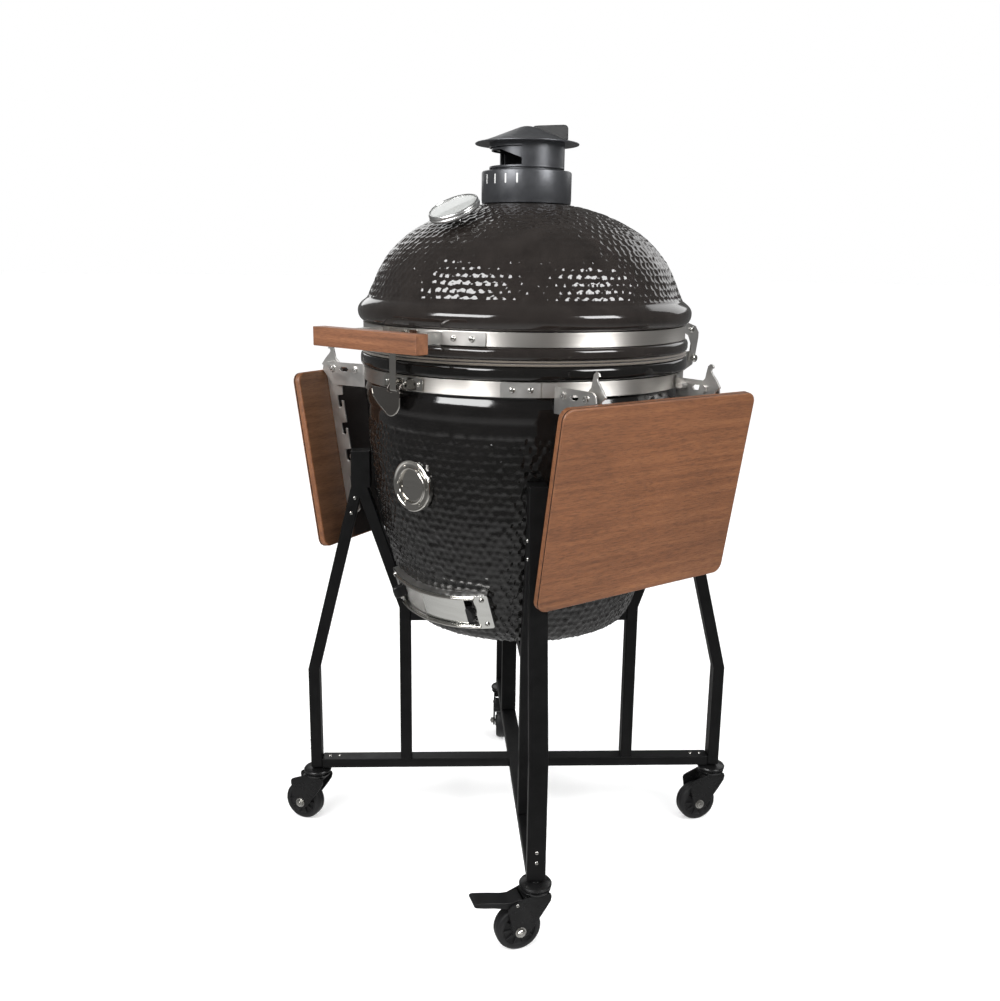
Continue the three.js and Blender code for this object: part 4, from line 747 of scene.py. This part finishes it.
# ------------------------------------------------------------------ casters
SW = {"front_left": 200.5, "front_right": 240, "rear_right": 238, "rear_left": 310}
for n, A in LEGS:
    p = at(A, 387.0); G = tr(p[0], p[1], 0) @ rz(SW[n])
    b = B()
    b.add(lathe([(0, 95.6), (19, 95.6), (22.5, 97), (24.6, 99.4), (25.0, 101), (23.4, 102.2), (22.0, 102.8), (22.2, 103.6), (24.4, 104.4), (26.2, 106.4), (26.4, 108.6), (25.2, 110.6), (21.4, 112.4), (13, 113.4), (9.4, 114.2), (9.0, 116.6), (0, 116.6)], 64))
    out = [(-20, 97), (-21.4, 92), (-20, 84), (-9, 67), (12, 38), (19, 29.6), (24, 26.8), (30, 26.4), (36.4, 28.6), (41, 34), (47, 58), (50, 74), (50.4, 80), (48.4, 84.6), (40, 88.6), (24, 95), (20, 97)]
    for y in (-19.4, 16.4): b.add(prism(out, y, y + 3, "xz"))
    b.add(prism(rrect(-19, 24, -19.3, 19.3, 5, 4), 92.6, 97))
    piece("caster_yoke_" + n, b, FORK, "fork_" + n, ["caster_fork_" + n], M=G, bevel=0.8)
    ax = B().add(cyl(4.4, 40, 24), tr(30, 0, 37.5) @ rx(90))
    for s in (1, -1):
        ax.add(lathe([(0, 0), (6.9, 0), (6.9, 4.6), (6.0, 5.6), (3.6, 5.8), (3.5, 7.2), (0, 7.4)], 6), facing((30, s * 19.4, 37.5), (0, s, 0)))
        ax.add(lathe([(0, 0), (9, 0), (9, 1.0), (0, 1.2)], 32), facing((30, s * 19.3, 37.5), (0, s, 0)))
    piece("caster_axle_" + n, ax, ZINC, "fork_" + n, (), M=G)
    wp = [(5.4, -15), (11.4, -15), (12.2, -14), (12.6, -10.5), (14.4, -9.4), (24.4, -9.4), (26.2, -10.4), (27.0, -12.0), (28.4, -12.5), (32.4, -12.3), (35.6, -10.8), (37.1, -8.2), (37.5, -5), (37.5, -1.2), (37.2, -0.6), (37.2, 0.6), (37.5, 1.2), (37.5, 5)]
    wp = wp + [(r, -z) for r, z in wp[::-1] if z < -5.5]
    w = B().add(lathe(wp, 72))
    for k in range(10):
        for s in (1, -1): w.add(box(12, 26.6, -1.1, 1.1, s * 10.6 - 1.4, s * 10.6 + 1.4), rz(36 * k))
    piece("caster_roller_" + n, w, TYRE, "wheel_" + n, ["caster_wheel_" + n], M=G @ tr(30, 0, 37.5) @ rx(90), smooth=34)
    if n in ("front_right", "rear_left"):
        pd = [(26, 92.4), (32, 92.8), (44, 90.8), (54, 91.4), (62, 93), (76, 95.8), (90, 98.4), (101, 100.2), (104.6, 100.0), (106.6, 98.2), (106.6, 95.0), (104, 92.4), (90, 88.8), (74, 85.8), (60, 82.2), (48, 79.2), (42, 79.0), (34, 81.6), (28, 86)]
        piece("caster_pedal_" + n, B().add(prism(pd, -15.6, 15.6, "xz")), PLASTIC, "brake_" + n, ["brake_pedal_" + n], M=G, bevel=1.2, bseg=3)
        rv = B()
        for s in (1, -1):
            rv.add(screw(3.0, 1.6), facing((36, s * 19.4, 86.4), (0, s, 0)))
        piece("caster_rivets_" + n, rv, ZINC, "fork_" + n, (), M=G)


# ------------------------------------------------------------------ stage
def stage():
    me = bpy.data.meshes.new("floor"); R = 60
    a = np.arange(64) * 2 * math.pi / 64; rs = [0.6, 1.5, 3, 8, R]
    v = [(0, 0, 0)] + [(r * math.cos(t), r * math.sin(t), 0) for r in rs for t in a]
    f = [(0, 1 + i, 1 + (i + 1) % 64) for i in range(64)]
    for k in range(len(rs) - 1): f += [(1 + k * 64 + i, 1 + (k + 1) * 64 + i, 1 + (k + 1) * 64 + (i + 1) % 64, 1 + k * 64 + (i + 1) % 64) for i in range(64)]
    me.from_pydata(v, [], f)
    m = Mat("floor_paint"); m.set(Base_Color=m.ramp(m.noise(3, 2), [(0.3, (0.86, 0.86, 0.86)), (0.7, (0.88, 0.88, 0.88))]), Roughness=0.85)
    m.p.inputs["Specular IOR Level"].default_value = 0.1
    m.p.inputs["Emission Color"].default_value = (1, 1, 1, 1); m.p.inputs["Emission Strength"].default_value = 0.24
    me.materials.append(m.m)
    o = bpy.data.objects.new("floor", me); SCN.collection.objects.link(o); o.visible_glossy = False
    w = bpy.data.worlds.new("studio"); SCN.world = w; w.use_nodes = True; t = w.node_tree; t.nodes.clear()
    out = t.nodes.new("ShaderNodeOutputWorld"); lp = t.nodes.new("ShaderNodeLightPath")
    bgs = []
    for c in ((1.0, 1.0, 1.0, 1), (1.0, 1.0, 1.0, 1), (0.20, 0.202, 0.206, 1)):
        b = t.nodes.new("ShaderNodeBackground"); b.inputs[0].default_value = c; bgs.append(b)
    bgs[1].inputs[1].default_value = 0.92
    tc = t.nodes.new("ShaderNodeTexCoord"); sp = t.nodes.new("ShaderNodeSeparateXYZ"); mr = t.nodes.new("ShaderNodeMapRange")
    t.links.new(tc.outputs["Generated"], sp.inputs[0]); t.links.new(sp.outputs[2], mr.inputs[0])
    for k, val in ((1, -0.85), (2, -0.32), (3, 0.74), (4, 0.14)): mr.inputs[k].default_value = val
    bgs[2].inputs[0].default_value = (1.0, 0.995, 0.985, 1); t.links.new(mr.outputs[0], bgs[2].inputs[1])
    m1 = t.nodes.new("ShaderNodeMixShader"); m2 = t.nodes.new("ShaderNodeMixShader")
    t.links.new(lp.outputs["Is Glossy Ray"], m1.inputs[0]); t.links.new(bgs[1].outputs[0], m1.inputs[1]); t.links.new(bgs[2].outputs[0], m1.inputs[2])
    t.links.new(lp.outputs["Is Camera Ray"], m2.inputs[0]); t.links.new(m1.outputs[0], m2.inputs[1]); t.links.new(bgs[0].outputs[0], m2.inputs[2])
    t.links.new(m2.outputs[0], out.inputs[0])

    def soft(name, az, dist, z, sx, sy, power, aim=0.85):
        l = bpy.data.lights.new(name, "AREA"); l.shape = "RECTANGLE"; l.size = sx; l.size_y = sy; l.energy = power
        p = np.array([dist * math.sin(az * D), -dist * math.cos(az * D), z]); d = p - np.array([0, 0, aim]); d /= np.linalg.norm(d)
        x = np.cross([0, 0, 1.0], d); x /= np.linalg.norm(x); y = np.cross(d, x)
        m = np.eye(4); m[:3, 0] = x; m[:3, 1] = y; m[:3, 2] = d; m[:3, 3] = p
        ob = bpy.data.objects.new(name, l); ob.matrix_world = Matrix(m.tolist()); SCN.collection.objects.link(ob)
        ob.visible_camera = False
        return ob
    for nm, az, w_, h_, dist, z, rad in (("box_left", -1, 1.75, 1.0, 2.4, 2.05, 15), ("box_right", 92, 1.15, 1.0, 2.5, 2.05, 15), ("rim_left", -118, 1.2, 1.8, 2.6, 2.2, 1.6), ("rim_back", 178, 1.6, 1.6, 2.8, 2.3, 1.5)):
        soft(nm, az, dist, z, w_, h_, rad * math.pi * w_ * h_, 1.0).visible_diffuse = False
    soft("key_left", 0, 2.3, 2.0, 2.2, 0.80, 60, 1.0).visible_glossy = False
    soft("key_right", 92, 2.4, 2.0, 1.4, 0.80, 44, 1.0).visible_glossy = False
    soft("top", 40, 0.5, 3.4, 1.6, 1.6, 24).visible_glossy = False
    SCN.view_settings.view_transform = "Standard"


stage()
